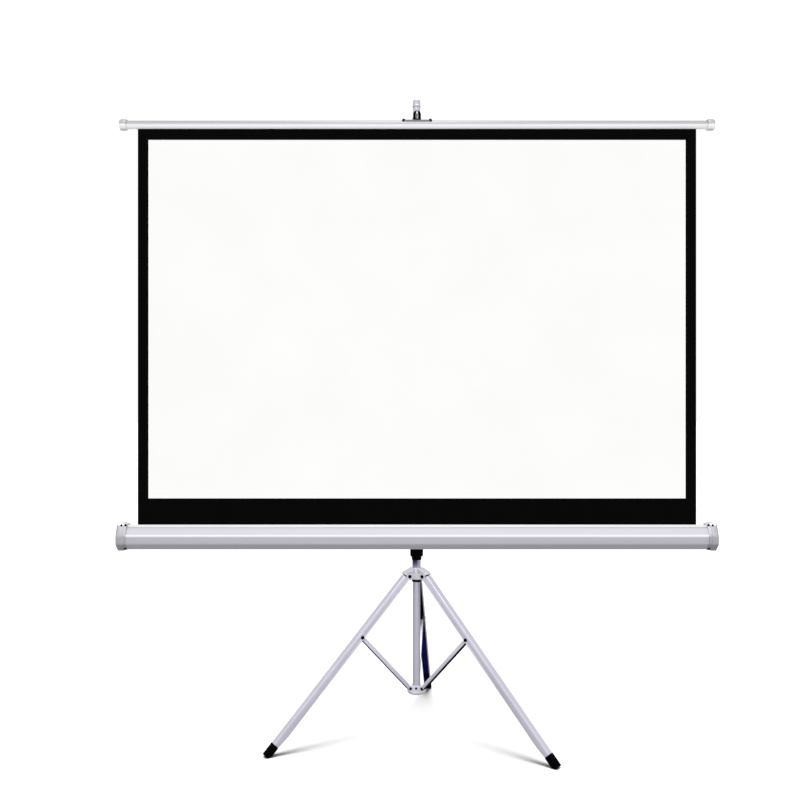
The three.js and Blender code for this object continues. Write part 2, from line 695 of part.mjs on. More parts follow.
function swivelPin() {
  const headFront = saddleFrontY - GAP - SWIVEL_HEAD_T;
  const profile = [
    [0, headFront], [SWIVEL_HEAD_R, headFront], [SWIVEL_HEAD_R, headFront + SWIVEL_HEAD_T],
    [SWIVEL_R, headFront + SWIVEL_HEAD_T], [SWIVEL_R, carriageFrontY + SWIVEL_SEAT],
    [0, carriageFrontY + SWIVEL_SEAT],
  ];
  return toY(turned(profile, ROUND_SIDES)).translate(0, 0, swivelZ);
}

// Pressed saddle that holds the back of the case
function caseSaddle() {
  const upper = new THREE.Vector2(caseBackY, caseTop - CASE_TOP_BEVEL_H);
  const lower = new THREE.Vector2(caseBackY, caseLow + CASE_LOW_BEVEL);
  const upAlong = new THREE.Vector2(-CASE_TOP_BEVEL_D, CASE_TOP_BEVEL_H).normalize();
  const lowAlong = new THREE.Vector2(-1, -1).normalize();
  const upOut = new THREE.Vector2(upAlong.y, -upAlong.x);
  const lowOut = new THREE.Vector2(-lowAlong.y, lowAlong.x);
  const spot = (corner, along, out, distance, offset) =>
    corner.clone().addScaledVector(along, distance).addScaledVector(out, offset);
  const reach = (corner, along, out, offset, y) => {
    const distance = (y - corner.x - out.x * offset) / along.x;
    return spot(corner, along, out, distance, offset);
  };
  const outerOffset = GAP + SADDLE_T;
  const points = [
    spot(lower, lowAlong, lowOut, SADDLE_ARM_LOW, outerOffset),
    reach(lower, lowAlong, lowOut, outerOffset, saddleBackY),
    reach(upper, upAlong, upOut, outerOffset, saddleBackY),
    spot(upper, upAlong, upOut, SADDLE_ARM_TOP, outerOffset),
    spot(upper, upAlong, upOut, SADDLE_ARM_TOP, GAP),
    spot(upper, upAlong, upOut, SADDLE_T, GAP),
    new THREE.Vector2(saddleFrontY, upper.y - SADDLE_T),
    new THREE.Vector2(saddleFrontY, lower.y + SADDLE_T),
    spot(lower, lowAlong, lowOut, SADDLE_T, GAP),
    spot(lower, lowAlong, lowOut, SADDLE_ARM_LOW, GAP),
  ];
  const strip = alongX(outline(points.map((p) => [p.x, p.y])), -SADDLE_L / 2, SADDLE_L / 2);
  const hole = toY(rod(SWIVEL_R + GAP, saddleFrontY - PAST, saddleBackY + PAST)).translate(0, 0, swivelZ);
  return cut(strip, hole);
}

// Case: a drawn shell with a lipped slot, and a moulded cap on each end
function caseOutline(proud, topZ) {
  const front = caseFrontY - proud;
  const back = caseBackY + proud;
  const low = caseLow - proud;
  const sideLow = caseLow + CASE_LOW_BEVEL;
  const sideTop = caseTop - CASE_TOP_BEVEL_H;
  return outline([
    [front + CASE_LOW_BEVEL, low], [back - CASE_LOW_BEVEL, low], [back, sideLow], [back, sideTop],
    [back - CASE_TOP_BEVEL_D, topZ], [slotFrontY - LIP_T - proud, topZ], [front, sideTop], [front, sideLow],
  ], CASE_CORNER_R);
}

function caseShell() {
  const outer = alongX(caseOutline(0, caseTop), -caseHalf, caseHalf);
  const inner = alongX(caseOutline(-CASE_WALL, caseTop - CASE_WALL), -caseHalf - PAST, caseHalf + PAST);
  const lipRoot = caseTop - CASE_WALL - CASE_CORNER_R;
  const lip = rectangle(slotFrontY - LIP_T, lipRoot, slotFrontY, lipTop, LIP_EDGE);
  const slot = rectangle(slotFrontY, rollerZ, slotBackY, lipTop + PAST);
  const shell = join(cut(outer, inner), alongX(lip, -caseHalf, caseHalf));
  return cut(shell, alongX(slot, -caseHalf - PAST, caseHalf + PAST));
}

// End cap at +X: a ring over the shell's end and a chamfered plate, with a boss for the roller inside
function endCap(socket) {
  const ringStart = caseHalf - CAP_RING_L;
  const outerFace = caseHalf + CAP_L;
  const top = lipTop + CAP_ABOVE_LIP;
  const ringTop = lipTop + CAP_RING_PROUD;
  const edge = caseOutline(CAP_PROUD, top).getPoints(CORNER_STEPS);
  const face = caseOutline(CAP_PROUD - CAP_CHAMFER, top - CAP_CHAMFER).getPoints(CORNER_STEPS);
  const plate = loft([
    { x: caseHalf, points: edge.slice(0, -1) },
    { x: outerFace - CAP_CHAMFER, points: edge.slice(0, -1) },
    { x: outerFace, points: face.slice(0, -1) },
  ]);
  const collar = alongX(caseOutline(CAP_RING_PROUD, ringTop), ringStart, caseHalf + EDGE);
  const pocket = alongX(caseOutline(GAP, caseTop + GAP), ringStart - PAST, capFaceX);
  const lipPocket = rectangle(slotFrontY - LIP_T - GAP, rollerZ, slotBackY, lipTop + GAP);
  const bossR = bearingOuterR + GAP + BOSS_WALL;
  const boss = onRoller(rod(bossR, socketFrom, capFaceX + EDGE, ROUND_SIDES));
  const body = cut(join(plate, collar), pocket, alongX(lipPocket, ringStart - PAST, capFaceX));
  return cut(join(body, boss), socket);
}

const roundSocket = () => onRoller(rod(bearingOuterR + GAP, socketFrom - PAST, socketTo, ROUND_SIDES));

function squareSocket() {
  const side = SHAFT_SIDE + 2 * GAP;
  const depth = socketTo - socketFrom + PAST;
  return new THREE.BoxGeometry(depth, side, side).translate(socketTo - depth / 2, rollerY, rollerZ);
}

// Roller pieces, about the roller's axis
const rollerTube = () => onRoller(ring(ROLLER_R - ROLLER_WALL, ROLLER_R, -rollerHalf, rollerHalf));
const woundFabric = () => onRoller(ring(woundInner, woundR, -fabricW / 2, fabricW / 2));

function idlePlug() {
  const seatR = ROLLER_R - ROLLER_WALL - GAP;
  const end = -rollerHalf - GAP;
  const rim = end - BOSS_GAP + 2 * GAP;
  return onRoller(turned([
    [0, rim - GUDGEON_L], [GUDGEON_R, rim - GUDGEON_L], [GUDGEON_R, rim], [ROLLER_R, rim], [ROLLER_R, end],
    [seatR, end], [seatR, end + ROLLER_PLUG_L], [0, end + ROLLER_PLUG_L],
  ]));
}

function idleBearing() {
  const from = -rollerHalf - BOSS_GAP - GUDGEON_L;
  return onRoller(ring(GUDGEON_R + GAP, bearingOuterR, from, from + GUDGEON_L - GAP));
}

function springPlug() {
  const seatR = ROLLER_R - ROLLER_WALL - GAP;
  const holeR = (SHAFT_SIDE / 2) * Math.SQRT2 + GAP;
  return onRoller(ring(holeR, seatR, rollerHalf - ROLLER_PLUG_L, rollerHalf - GAP));
}

function rollerShaft() {
  const from = rollerHalf - SHAFT_L;
  const length = socketTo - GAP - from;
  const bar = new THREE.BoxGeometry(length, SHAFT_SIDE, SHAFT_SIDE);
  const anchor = onRoller(rod(ANCHOR_R, from - ANCHOR_T, from + GAP, ROUND_SIDES));
  return join(bar.translate(from + length / 2, rollerY, rollerZ), anchor);
}

class SpringPath extends THREE.Curve {
  getPoint(t, target = new THREE.Vector3()) {
    const angle = 2 * Math.PI * SPRING_TURNS * t;
    return target.set(
      springStart + SPRING_PITCH * SPRING_TURNS * t,
      rollerY + SPRING_R * Math.cos(angle),
      rollerZ + SPRING_R * Math.sin(angle),
    );
  }
}

function rollerSpring() {
  const wire = [];
  for (let i = 0; i < SPRING_SIDES; i += 1) {
    const angle = (2 * Math.PI * i) / SPRING_SIDES;
    wire.push([SPRING_WIRE_R * Math.cos(angle), SPRING_WIRE_R * Math.sin(angle)]);
  }
  const path = new SpringPath();
  const steps = SPRING_TURNS * SPRING_STEPS;
  const points = path.getSpacedPoints(steps);
  const apart = points.flatMap((p, i) => points.slice(i + SPRING_STEPS / 2).map((q) => p.distanceTo(q)));
  console.log(`roller_spring least gap ${(Math.min(...apart) - 2 * SPRING_WIRE_R).toFixed(2)} mm`);
  return new THREE.ExtrudeGeometry(outline(wire), { steps, extrudePath: path });
}

// Screen sheet, from its turn on the roller to the hem in the top bar
function screenFabric() {
  const top = barZ - HEM_ROD_LOW - HEM_ROD_R - GAP;
  return new THREE.BoxGeometry(fabricW, FABRIC_T, top - rollerZ).translate(0, fabricY, (top + rollerZ) / 2);
}

// Top bar: a slotted tube with the hem rod inside, end caps and the hanger saddle with its loop
const screwPlaces = [-hangerScrewX, hangerScrewX];

// A screw, or the hole for it, set from the bar's axis towards the upper front
const onBar = (geometry, x) => geometry.rotateX(degToRad(HANGER_SCREW_TILT)).translate(x, fabricY, barZ);

function topBar() {
  const slotAngle = Math.asin(BAR_SLOT_W / 2 / BAR_R);
  const innerAngle = Math.asin(BAR_SLOT_W / 2 / (BAR_R - BAR_WALL));
  const down = -Math.PI / 2;
  const shape = new THREE.Shape();
  shape.absarc(0, 0, BAR_R, down + slotAngle, down - slotAngle + 2 * Math.PI, false);
  shape.absarc(0, 0, BAR_R - BAR_WALL, down - innerAngle + 2 * Math.PI, down + innerAngle, true);
  shape.closePath();
  const tube = alongX(shape, -barHalf, barHalf, { curveSegments: BAR_STEPS });
  const holes = screwPlaces.map((x) => onBar(rod(HANGER_SCREW_R + GAP, 0, 2 * BAR_R), x));
  return cut(tube.translate(0, fabricY, barZ), ...holes);
}

const hemRod = () => toX(rod(HEM_ROD_R, -fabricW / 2, fabricW / 2)).translate(0, fabricY, barZ - HEM_ROD_LOW);

// End cap of the top bar at +X
function barCap() {
  const face = barHalf + GAP;
  const end = face + BAR_CAP_L;
  const seatR = BAR_R - BAR_WALL - GAP;
  const round = arcPoints(BAR_CAP_R - BAR_CAP_EDGE, end - BAR_CAP_EDGE, BAR_CAP_EDGE, 0, Math.PI / 2);
  const profile = [
    [0, face - BAR_CAP_SEAT], [seatR, face - BAR_CAP_SEAT], [seatR, face], [BAR_CAP_R - EDGE, face],
    [BAR_CAP_R, face + EDGE], ...round, [0, end],
  ];
  return toX(turned(profile)).translate(0, fabricY, barZ);
}

function hangerSaddle() {
  const spread = degToRad(HANGER_ARC);
  const up = Math.PI / 2;
  const shape = new THREE.Shape();
  shape.absarc(0, 0, hangerTopR, up - spread, up + spread, false);
  shape.absarc(0, 0, BAR_R + GAP, up + spread, up - spread, true);
  shape.closePath();
  const strip = alongX(shape, -HANGER_L / 2, HANGER_L / 2, { curveSegments: SMALL_SIDES });
  const holes = screwPlaces.map((x) => onBar(rod(HANGER_SCREW_R + GAP, 0, 2 * BAR_R), x));
  return cut(strip.translate(0, fabricY, barZ), ...holes);
}

function hangerScrew(x) {
  const seat = hangerTopR + GAP;
  const top = seat + HANGER_HEAD_T;
  const tip = BAR_R - BAR_WALL;
  return onBar(turned([
    [0, tip], [HANGER_SCREW_R, tip], [HANGER_SCREW_R, seat], [HANGER_HEAD_R, seat],
    [HANGER_HEAD_R, seat + HANGER_HEAD_T / 2], [HANGER_HEAD_R / 2, top], [0, top],
  ], SMALL_SIDES), x);
}

// An arch: straight sides and a half-round top
function arch(width, low, high) {
  const r = width / 2;
  const shape = new THREE.Shape();
  shape.moveTo(-r, low);
  shape.lineTo(r, low);
  shape.lineTo(r, high - r);
  shape.absarc(0, high - r, r, 0, Math.PI, false);
  shape.closePath();
  return shape;
}

function hangerLoop() {
  const body = alongY(
    arch(LOOP_W, loopLow - HANGER_T, loopLow + LOOP_H), fabricY - LOOP_T / 2, fabricY + LOOP_T / 2,
    { curveSegments: SMALL_SIDES },
  );
  const eye = alongY(
    arch(LOOP_EYE_W, loopLow + LOOP_SILL, eyeTop), fabricY - LOOP_T, fabricY + LOOP_T,
    { curveSegments: SMALL_SIDES / 2 },
  );
  const saddleTop = toX(rod(hangerTopR + GAP, -LOOP_W, LOOP_W, 2 * ROUND_SIDES)).translate(0, fabricY, barZ);
  return cut(body, eye, saddleTop);
}

// Hook: a band round the pole with a tongue that reaches forward through the loop and turns up at its tip
function hook() {
  const low = tongueTop - HOOK_T;
  const tipY = fabricY - LOOP_T / 2 - HOOK_PAST_LOOP;
  const side = outline([
    [-POLE_R - GAP - BAND_T / 2, low], [-POLE_R - GAP - BAND_T / 2, tongueTop], [tipY, tongueTop],
    [tipY, tongueTop + HOOK_TIP_H], [tipY - HOOK_T, tongueTop + HOOK_TIP_H], [tipY - HOOK_T, low],
  ]);
  const tongue = alongX(side, -HOOK_W / 2, HOOK_W / 2);
  const middle = tongueTop - HOOK_T / 2;
  const band = ring(POLE_R + GAP, POLE_R + GAP + BAND_T, middle - BAND_H / 2, middle + BAND_H / 2);
  const hole = toY(rod(RIVET_R + GAP, 0, 2 * POLE_R)).translate(0, 0, middle);
  return cut(join(band, tongue), hole);
}

function bandRivet() {
  const seat = POLE_R + 2 * GAP + BAND_T;
  const tip = POLE_R - TUBE_WALL - RIVET_HEAD_T;
  const profile = [
    [0, tip], [RIVET_R, tip], [RIVET_R, seat], [RIVET_HEAD_R, seat],
    [RIVET_HEAD_R / 2, seat + RIVET_HEAD_T], [0, seat + RIVET_HEAD_T],
  ];
  return toY(turned(profile, SMALL_SIDES)).translate(0, 0, tongueTop - HOOK_T / 2);
}

function pole() {
  const hole = toY(rod(RIVET_R + GAP, 0, 2 * POLE_R)).translate(0, 0, tongueTop - HOOK_T / 2);
  return cut(ring(POLE_R - TUBE_WALL, POLE_R, poleBottom, poleTop), hole);
}

function poleTip() {
  const seatR = POLE_R - TUBE_WALL - GAP;
  const low = poleTop + GAP;
  const top = poleTop + TIP_H;
  const ringTop = low + TIP_RING_H;
  const capR = TIP_R - TIP_STEP;
  return turned([
    [0, low - TIP_SEAT], [seatR, low - TIP_SEAT], [seatR, low], [TIP_R, low], [TIP_R, ringTop],
    [capR, ringTop + TIP_STEP], ...arcPoints(capR - TIP_ROUND, top - TIP_ROUND, TIP_ROUND, 0, Math.PI / 2),
    [0, top],
  ]);
}

function polePlug() {
  const seatR = POLE_R - TUBE_WALL - GAP;
  const rimTop = poleBottom - GAP;
  return turned([
    [0, rimTop - PLUG_RIM], [boreR - GAP - EDGE, rimTop - PLUG_RIM], [boreR - GAP, rimTop - PLUG_RIM + EDGE],
    [boreR - GAP, rimTop], [seatR, rimTop], [seatR, rimTop + PLUG_L], [0, rimTop + PLUG_L],
  ]);
}

// Assembly, with the column's axis at X = Y = 0 and the floor at Z = 0
const screen = new THREE.Group();

const column = group(screen, 'column');
piece(column, 'column_tube', columnTube(), silverPaint());
piece(column, 'leg_hub', legHub(), paleSilver());
piece(column, 'hub_bush', hubBush(), blackPlastic());
piece(column, 'column_collar', columnCollar(), blackPlastic());
const poleKnob = group(column, 'pole_knob_axis', [0, 0, poleKnobZ]);
piece(poleKnob, 'pole_knob', clampKnob(POLE_R, COLUMN_R + COLLAR_T + KNOB_BOSS_L), blackPlastic());

const centreTube = group(screen, 'centre_tube');
piece(centreTube, 'lower_tube', lowerTube(), silverPaint());
piece(centreTube, 'spider', spider(), paleSilver());
const spiderFront = group(centreTube, 'spider_front', [0, 0, 0], 0, -azimuths[0]);
piece(spiderFront, 'spider_screw', setScrew(), blackPlastic());

azimuths.forEach((azimuth, i) => {
  const number = i + 1;
  const around = group(screen, `around_${number}`, [0, 0, 0], 0, -azimuth);
  const hubPivot = group(around, `hub_pivot_${number}`, [0, HUB_PIVOT_R, hubZ]);
  const legPin = headedPin(PIN_R, PIN_HEAD_R, PIN_HEAD_T, LEG_W / 2 + GAP);
  piece(hubPivot, `leg_pin_${number}`, legPin, blackPlastic());
  const legFrame = group(hubPivot, `leg_frame_${number}`, [0, 0, 0], legTilt);
  piece(legFrame, `leg_${number}`, leg(), silverPaint());
  piece(legFrame, `foot_${number}`, foot(), rubber());
  const strutPivot = group(legFrame, `strut_pivot_${number}`, [0, 0, -STRUT_AT]);
  const strutPin = headedPin(STRUT_PIN_R, STRUT_HEAD_R, STRUT_HEAD_T, LEG_W / 2 + GAP);
  piece(strutPivot, `strut_pin_${number}`, strutPin, blackPlastic());
  const strutFrame = group(strutPivot, `strut_frame_${number}`, [0, 0, 0], -legTilt - strutTilt);
  piece(strutFrame, `strut_${number}`, strut(), silverPaint());
  const spiderPivot = group(around, `spider_pivot_${number}`, [0, SPIDER_PIVOT_R, spiderZ]);
  const spiderPin = headedPin(STRUT_PIN_R, STRUT_HEAD_R, STRUT_HEAD_T, STRUT_W / 2 + GAP);
  piece(spiderPivot, `spider_pin_${number}`, spiderPin, blackPlastic());
});

const screenCase = group(screen, 'case');
piece(screenCase, 'carriage', carriage(), blackPlastic());
piece(screenCase, 'case_saddle', caseSaddle(), steel());
piece(screenCase, 'swivel_pin', swivelPin(), steel());
piece(screenCase, 'case_shell', caseShell(), paleSilver());
piece(screenCase, 'end_cap_right', endCap(squareSocket()), paleSilver());
piece(screenCase, 'end_cap_left', mirrored(endCap(roundSocket())), paleSilver());
piece(screenCase, 'idle_bearing', idleBearing(), blackPlastic());
piece(screenCase, 'roller_shaft', rollerShaft(), steel());
piece(screenCase, 'roller_spring', rollerSpring(), steel());
const caseKnob = group(screenCase, 'case_knob_axis', [0, 0, swivelZ]);
piece(caseKnob, 'case_knob', clampKnob(COLUMN_R, CARRIAGE_W / 2 + KNOB_BOSS_L), blackPlastic());
const roller = group(screenCase, 'roller');
piece(roller, 'roller_tube', rollerTube(), steel());
piece(roller, 'wound_fabric', woundFabric(), whiteFabric());
piece(roller, 'idle_plug', idlePlug(), blackPlastic());
piece(roller, 'spring_plug', springPlug(), blackPlastic());

const upper = group(screen, 'pole');
piece(upper, 'pole', pole(), silverPaint());
piece(upper, 'pole_tip', poleTip(), paleSilver());
piece(upper, 'pole_plug', polePlug(), blackPlastic());
piece(upper, 'hook', hook(), steel());
piece(upper, 'band_rivet', bandRivet(), steel());
piece(upper, 'top_bar', topBar(), paleSilver());
piece(upper, 'bar_cap_right', barCap(), paleSilver());
piece(upper, 'bar_cap_left', mirrored(barCap()), paleSilver());
piece(upper, 'hem_rod', hemRod(), blackPlastic());
piece(upper, 'hanger_saddle', hangerSaddle(), steel());
piece(upper, 'hanger_screw_left', hangerScrew(-hangerScrewX), blackPlastic());
piece(upper, 'hanger_screw_right', hangerScrew(hangerScrewX), blackPlastic());
piece(upper, 'hanger_loop', hangerLoop(), blackPlastic());
piece(upper, 'screen_fabric', screenFabric(), whiteFabric());

screen.updateMatrixWorld(true);
const footprint = new THREE.Box3().setFromObject(screen, true);
screen.position.y = -(footprint.min.y + footprint.max.y) / 2;

export default screen;
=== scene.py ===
"""Finishes, cloth and studio for a tripod projection screen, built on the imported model."""

import json
import math

import bmesh
import bpy
from mathutils import Matrix, Vector
from mathutils.bvhtree import BVHTree


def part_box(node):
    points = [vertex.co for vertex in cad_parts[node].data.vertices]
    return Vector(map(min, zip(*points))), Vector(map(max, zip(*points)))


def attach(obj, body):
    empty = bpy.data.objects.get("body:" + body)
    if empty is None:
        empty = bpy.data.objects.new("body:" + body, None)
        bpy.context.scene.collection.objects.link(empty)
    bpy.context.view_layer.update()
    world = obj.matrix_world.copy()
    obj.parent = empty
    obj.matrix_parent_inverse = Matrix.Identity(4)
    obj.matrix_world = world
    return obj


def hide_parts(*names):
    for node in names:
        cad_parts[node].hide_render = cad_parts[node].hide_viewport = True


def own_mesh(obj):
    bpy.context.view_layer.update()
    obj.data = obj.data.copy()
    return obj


bl_info = {
    "name": "Tripod Projection Screen",
    "version": (1, 0, 0),
    "blender": (4, 5, 0),
    "location": "View3D > Sidebar > Screen",
    "description": "Dresses the packed tripod screen in its paint, mouldings and cloth",
    "category": "Object",
}

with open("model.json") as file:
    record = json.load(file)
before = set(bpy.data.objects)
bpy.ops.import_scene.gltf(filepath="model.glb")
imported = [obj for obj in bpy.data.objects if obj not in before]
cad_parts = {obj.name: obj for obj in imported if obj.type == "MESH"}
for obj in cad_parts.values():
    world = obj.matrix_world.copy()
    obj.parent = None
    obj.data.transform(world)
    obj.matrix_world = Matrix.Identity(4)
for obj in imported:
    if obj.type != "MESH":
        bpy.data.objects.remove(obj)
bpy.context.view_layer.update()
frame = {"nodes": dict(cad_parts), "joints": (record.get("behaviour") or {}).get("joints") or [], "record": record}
RECORD = frame["record"]
BODIES = RECORD["behaviour"]["bodies"]
BODY_OF = {node: body for body, nodes in BODIES.items() for node in nodes}
JOINTS = {joint["name"]: joint for joint in frame["joints"]}
LEG_JOINTS = ("leg_fold", "leg_2_fold", "leg_3_fold")
STRUT_JOINTS = ("strut_1_fold", "strut_2_fold", "strut_3_fold")
NUMBERS = (1, 2, 3)

# Walls, rims and gaps in metres
TUBE_WALLS = {"column_tube": 0.0011, "lower_tube": 0.0012}
LEG_WALL = 0.0014
STRUT_WALL = 0.0012
# Widths of the painted shade along each strut's open rims
SHADED_RIMS = (0.0016, 0.0028, 0.0016)
TUBE_RIM = 0.0004
CLOTH_RIM = 0.0002
ROLLER_GAP = 0.0003
WALL_SLACK = 0.0001

# Screws in an end cap: how far in or out from the shell's end, and the share of the shell's height
CAP_SCREWS = {
    "upper_ring": (-0.0052, 0.985),
    "upper_plate": (0.0052, 0.985),
    "lower_ring": (-0.0052, 0.045),
}
SCREW_RISE = 0.3
SCREW_SUNK, SCREW_FLOOR, SCREW_SOCKET = 0.3, 0.45, 0.42
SCREW_DOME = (0.0, 0.35, 0.7, 1.0)
PIN_SHANK, PIN_RISE = 0.6, 0.42
PIN_DOME = (0.0, 0.4, 0.8, 1.15, 1.4)
HEAD_RIM = 0.35

# Mesh tolerances, and how squarely a face has to point along an axis
MERGE = 0.00001
SPUN_MERGE = MERGE / 10
SAME_PLANE = math.radians(0.6)
SHARP = math.radians(38)
SMOOTH = math.radians(40)
ROUND_SEGMENTS = 2
SQUARE_ON = 0.9
LEANING = 0.5
CLOTH_ACROSS, CLOTH_UP = 96, 72

# Materials
WORN = "worn_edge"
CLOTH_MAP = "cloth"
NOISE_LOW, NOISE_HIGH = 0.3, 0.7
PATCH_SCALE, PATCH_LOW, PATCH_HIGH = 60, 0.45, 0.62
GRAIN_STRENGTH, WEAVE_STRENGTH = 0.5, 0.35
WAVE_TURN = 20
EVEN = (1, 1, 1)
PAINT = {
    "roughness": 0.4,
    "metallic": 0.3,
    "drift": {"spread": 0.05, "scale": 9},
    "gloss": {"low": 0.34, "high": 0.46, "scale": 30},
    "relief": {"scale": 1400, "depth": 0.00006},
}
PAINT_WEAR = {"bare": (0.78, 0.78, 0.8), "share": 0.5}
# Painted shade on the column under the carriage: shades by share of the height from the hub's top to the carriage
PAINTED_SHADE_UNDER_CARRIAGE = (
    (0.0, (0.62, 0.62, 0.72)),
    (0.09, (0.26, 0.26, 0.41)),
    (0.2, (0.043, 0.043, 0.12)),
    (0.27, (0.004, 0.004, 0.03)),
    (0.36, (0.004, 0.004, 0.03)),
    (0.6, (1.0, 1.0, 1.0)),
)

# Studio
FLOOR_HALF = 40
SENSOR = 36
LAMP_PLACE = (0, -1.2, 4)
SEEN_WHITE = 1.05


class ScreenSizes(bpy.types.PropertyGroup):
    """Sizes of the cloth and of the small features that the finish adds."""

    picture_width: bpy.props.FloatProperty(
        name="Picture width", description="White area, side to side",
        default=1.516, unit="LENGTH",
    )
    picture_height: bpy.props.FloatProperty(
        name="Picture height", description="White area, bottom to top",
        default=1.0116, unit="LENGTH",
    )
    picture_low: bpy.props.FloatProperty(
        name="Lower border", description="Black border above the case lip",
        default=0.0739, unit="LENGTH",
    )
    weave_pitch: bpy.props.FloatProperty(
        name="Weave pitch", description="Distance from thread to thread",
        default=0.0011, unit="LENGTH",
    )
    sheet_metal_edge: bpy.props.FloatProperty(
        name="Pressed edge", description="Rounding on pressed and drawn metal",
        default=0.00035, unit="LENGTH",
    )
    moulding_edge: bpy.props.FloatProperty(
        name="Moulded edge", description="Rounding on mouldings and castings",
        default=0.0007, unit="LENGTH",
    )
    lip: bpy.props.FloatProperty(
        name="Case lip", description="Height of the lip that the cloth leaves the case by",
        default=0.006, unit="LENGTH",
    )
    # The grey line under the case's lip is a painted shade line
    shade_line: bpy.props.FloatProperty(
        name="Drawn groove", description="Width of the grey line under the case's lip",
        default=0.0016, unit="LENGTH",
    )
    hood_inside: bpy.props.FloatProperty(
        name="Hood inside", description="Radius of the room for a leg's ears in the hub",
        default=0.0107, unit="LENGTH",
    )
    dipped: bpy.props.FloatProperty(
        name="Dipped ends", description="Black at each end of the hanger's plate",
        default=0.006, unit="LENGTH",
    )
    cap_screw: bpy.props.FloatProperty(
        name="Cap screw", description="Head of the screws in the case's end caps",
        default=0.0068, unit="LENGTH",
    )
    strut_head: bpy.props.FloatProperty(
        name="Strut pin head", description="Heads of the pins that hold the struts",
        default=0.0104, unit="LENGTH",
    )
    round_steps: bpy.props.IntProperty(
        name="Round steps", description="Faces round a tube", default=72, min=16
    )


class ScreenColours(bpy.types.PropertyGroup):
    """Colours of the finishes, as linear values."""

    paint: bpy.props.FloatVectorProperty(
        name="Silver paint", description="Column, pole, legs and struts",
        default=(0.545, 0.532, 0.612), subtype="COLOR",
    )
    tube: bpy.props.FloatVectorProperty(
        name="Tube lacquer", description="Lower tube",
        default=(0.468, 0.455, 0.54), subtype="COLOR",
    )
    casting: bpy.props.FloatVectorProperty(
        name="Cast silver", description="Hub and spider",
        default=(0.552, 0.545, 0.59), subtype="COLOR",
    )
    aluminium: bpy.props.FloatVectorProperty(
        name="Drawn aluminium", description="Case",
        default=(0.656, 0.642, 0.705), subtype="COLOR",
    )
    moulding: bpy.props.FloatVectorProperty(
        name="Silver moulding", description="End caps of the case",
        default=(0.78, 0.765, 0.82), subtype="COLOR",
    )
    bar: bpy.props.FloatVectorProperty(
        name="Pale aluminium", description="Top bar and its caps",
        default=(0.95, 0.94, 0.975), subtype="COLOR",
    )
    # The lip's paler tone is a painted highlight
    lip: bpy.props.FloatVectorProperty(
        name="Lip highlight", description="Case lip",
        default=(0.7, 0.69, 0.72), subtype="COLOR",
    )
    zinc: bpy.props.FloatVectorProperty(
        name="Zinc plate", description="Case saddle, swivel pin and roller",
        default=(0.3, 0.3, 0.33), subtype="COLOR",
    )
    bright_plate: bpy.props.FloatVectorProperty(
        name="Bright plate", description="Hook and its rivet",
        default=(0.8, 0.79, 0.82), subtype="COLOR",
    )
    black: bpy.props.FloatVectorProperty(
        name="Black moulding", description="Carriage, collar, knobs, pins and hanger loop",
        default=(0.0012, 0.0012, 0.0015), subtype="COLOR",
    )
    # The inside colour is painted shade: the channels' insides are dark navy where their walls shade them
    inside: bpy.props.FloatVectorProperty(
        name="Channel inside", description="Inside of the legs and struts",
        default=(0.005, 0.0035, 0.13), subtype="COLOR",
    )
    white: bpy.props.FloatVectorProperty(
        name="Screen white", description="Viewing surface",
        default=(0.79, 0.79, 0.782), subtype="COLOR",
    )


class ScreenStudio(bpy.types.PropertyGroup):
    """Where the camera stands, and how bright the studio is."""

    distance: bpy.props.FloatProperty(
        name="Camera distance", description="Camera to the column",
        default=2.783, unit="LENGTH",
    )
    height: bpy.props.FloatProperty(
        name="Camera height", description="Camera above the floor",
        default=0.966, unit="LENGTH",
    )
    side: bpy.props.FloatProperty(
        name="Camera side step", description="Camera to the right of the column",
        default=-0.048, unit="LENGTH",
    )
    lens: bpy.props.FloatProperty(
        name="Lens", description="Focal length", default=43.26, subtype="DISTANCE_CAMERA"
    )
    key: bpy.props.FloatProperty(
        name="Key light", description="Strength of the soft overhead light", default=2.8
    )
    softness: bpy.props.FloatProperty(
        name="Softness", description="Width of the overhead light",
        default=math.radians(25), subtype="ANGLE",
    )
    lean: bpy.props.FloatProperty(
        name="Lean", default=0.3,
        description="How far the overhead light comes from the front, to each metre of height",
    )
    floor_light: bpy.props.FloatProperty(
        name="Floor light", description="Strength of the light that only the floor gets",
        default=4.1,
    )
    floor_softness: bpy.props.FloatProperty(
        name="Floor softness", description="Width of the floor's light",
        default=math.radians(24), subtype="ANGLE",
    )
    floor_lean: bpy.props.FloatProperty(
        name="Floor lean", default=0.08,
        description="How far the floor's light comes from the front, to each metre of height",
    )
    overhead: bpy.props.FloatProperty(
        name="Ceiling", description="Brightness of the room's ceiling", default=0.35
    )
    level: bpy.props.FloatProperty(
        name="Walls", description="Brightness of the room at eye level", default=0.85
    )
    below: bpy.props.FloatProperty(
        name="Below", description="Brightness that undersides see", default=0.58
    )
    mirrored: bpy.props.FloatProperty(
        name="Mirrored floor", description="Share of the brightness below that gloss shows",
        default=0.45,
    )
    front: bpy.props.FloatProperty(
        name="Front", description="Brightness added on the camera's side", default=0.98
    )


def sizes():
    """The scene's sizes, as the sidebar shows them."""
    return bpy.context.scene.screen_sizes


def colours():
    """The scene's colours, as the sidebar shows them."""
    return bpy.context.scene.screen_colours


def node_in(material, kind, values=None, **settings):
    """A new shader node with its settings and the values of its unlinked sockets."""
    made = material.node_tree.nodes.new(kind)
    for name, value in settings.items():
        setattr(made, name, value)
    for name, value in (values or {}).items():
        made.inputs[name].default_value = value
    return made


def join(material, out_socket, in_socket):
    """Links two sockets of a material or a world."""
    material.node_tree.links.new(out_socket, in_socket)


def set_stops(ramp, stops):
    """Gives a ramp its stops, each a position and a colour."""
    elements = ramp.color_ramp.elements
    while len(elements) < len(stops):
        elements.new(1.0)
    for element, (position, colour) in zip(elements, stops):
        element.position = position
        element.color = (*colour, 1)


def greys(*stops):
    """The same stops with each shade as a grey."""
    return [(position, (shade,) * 3) for position, shade in stops]


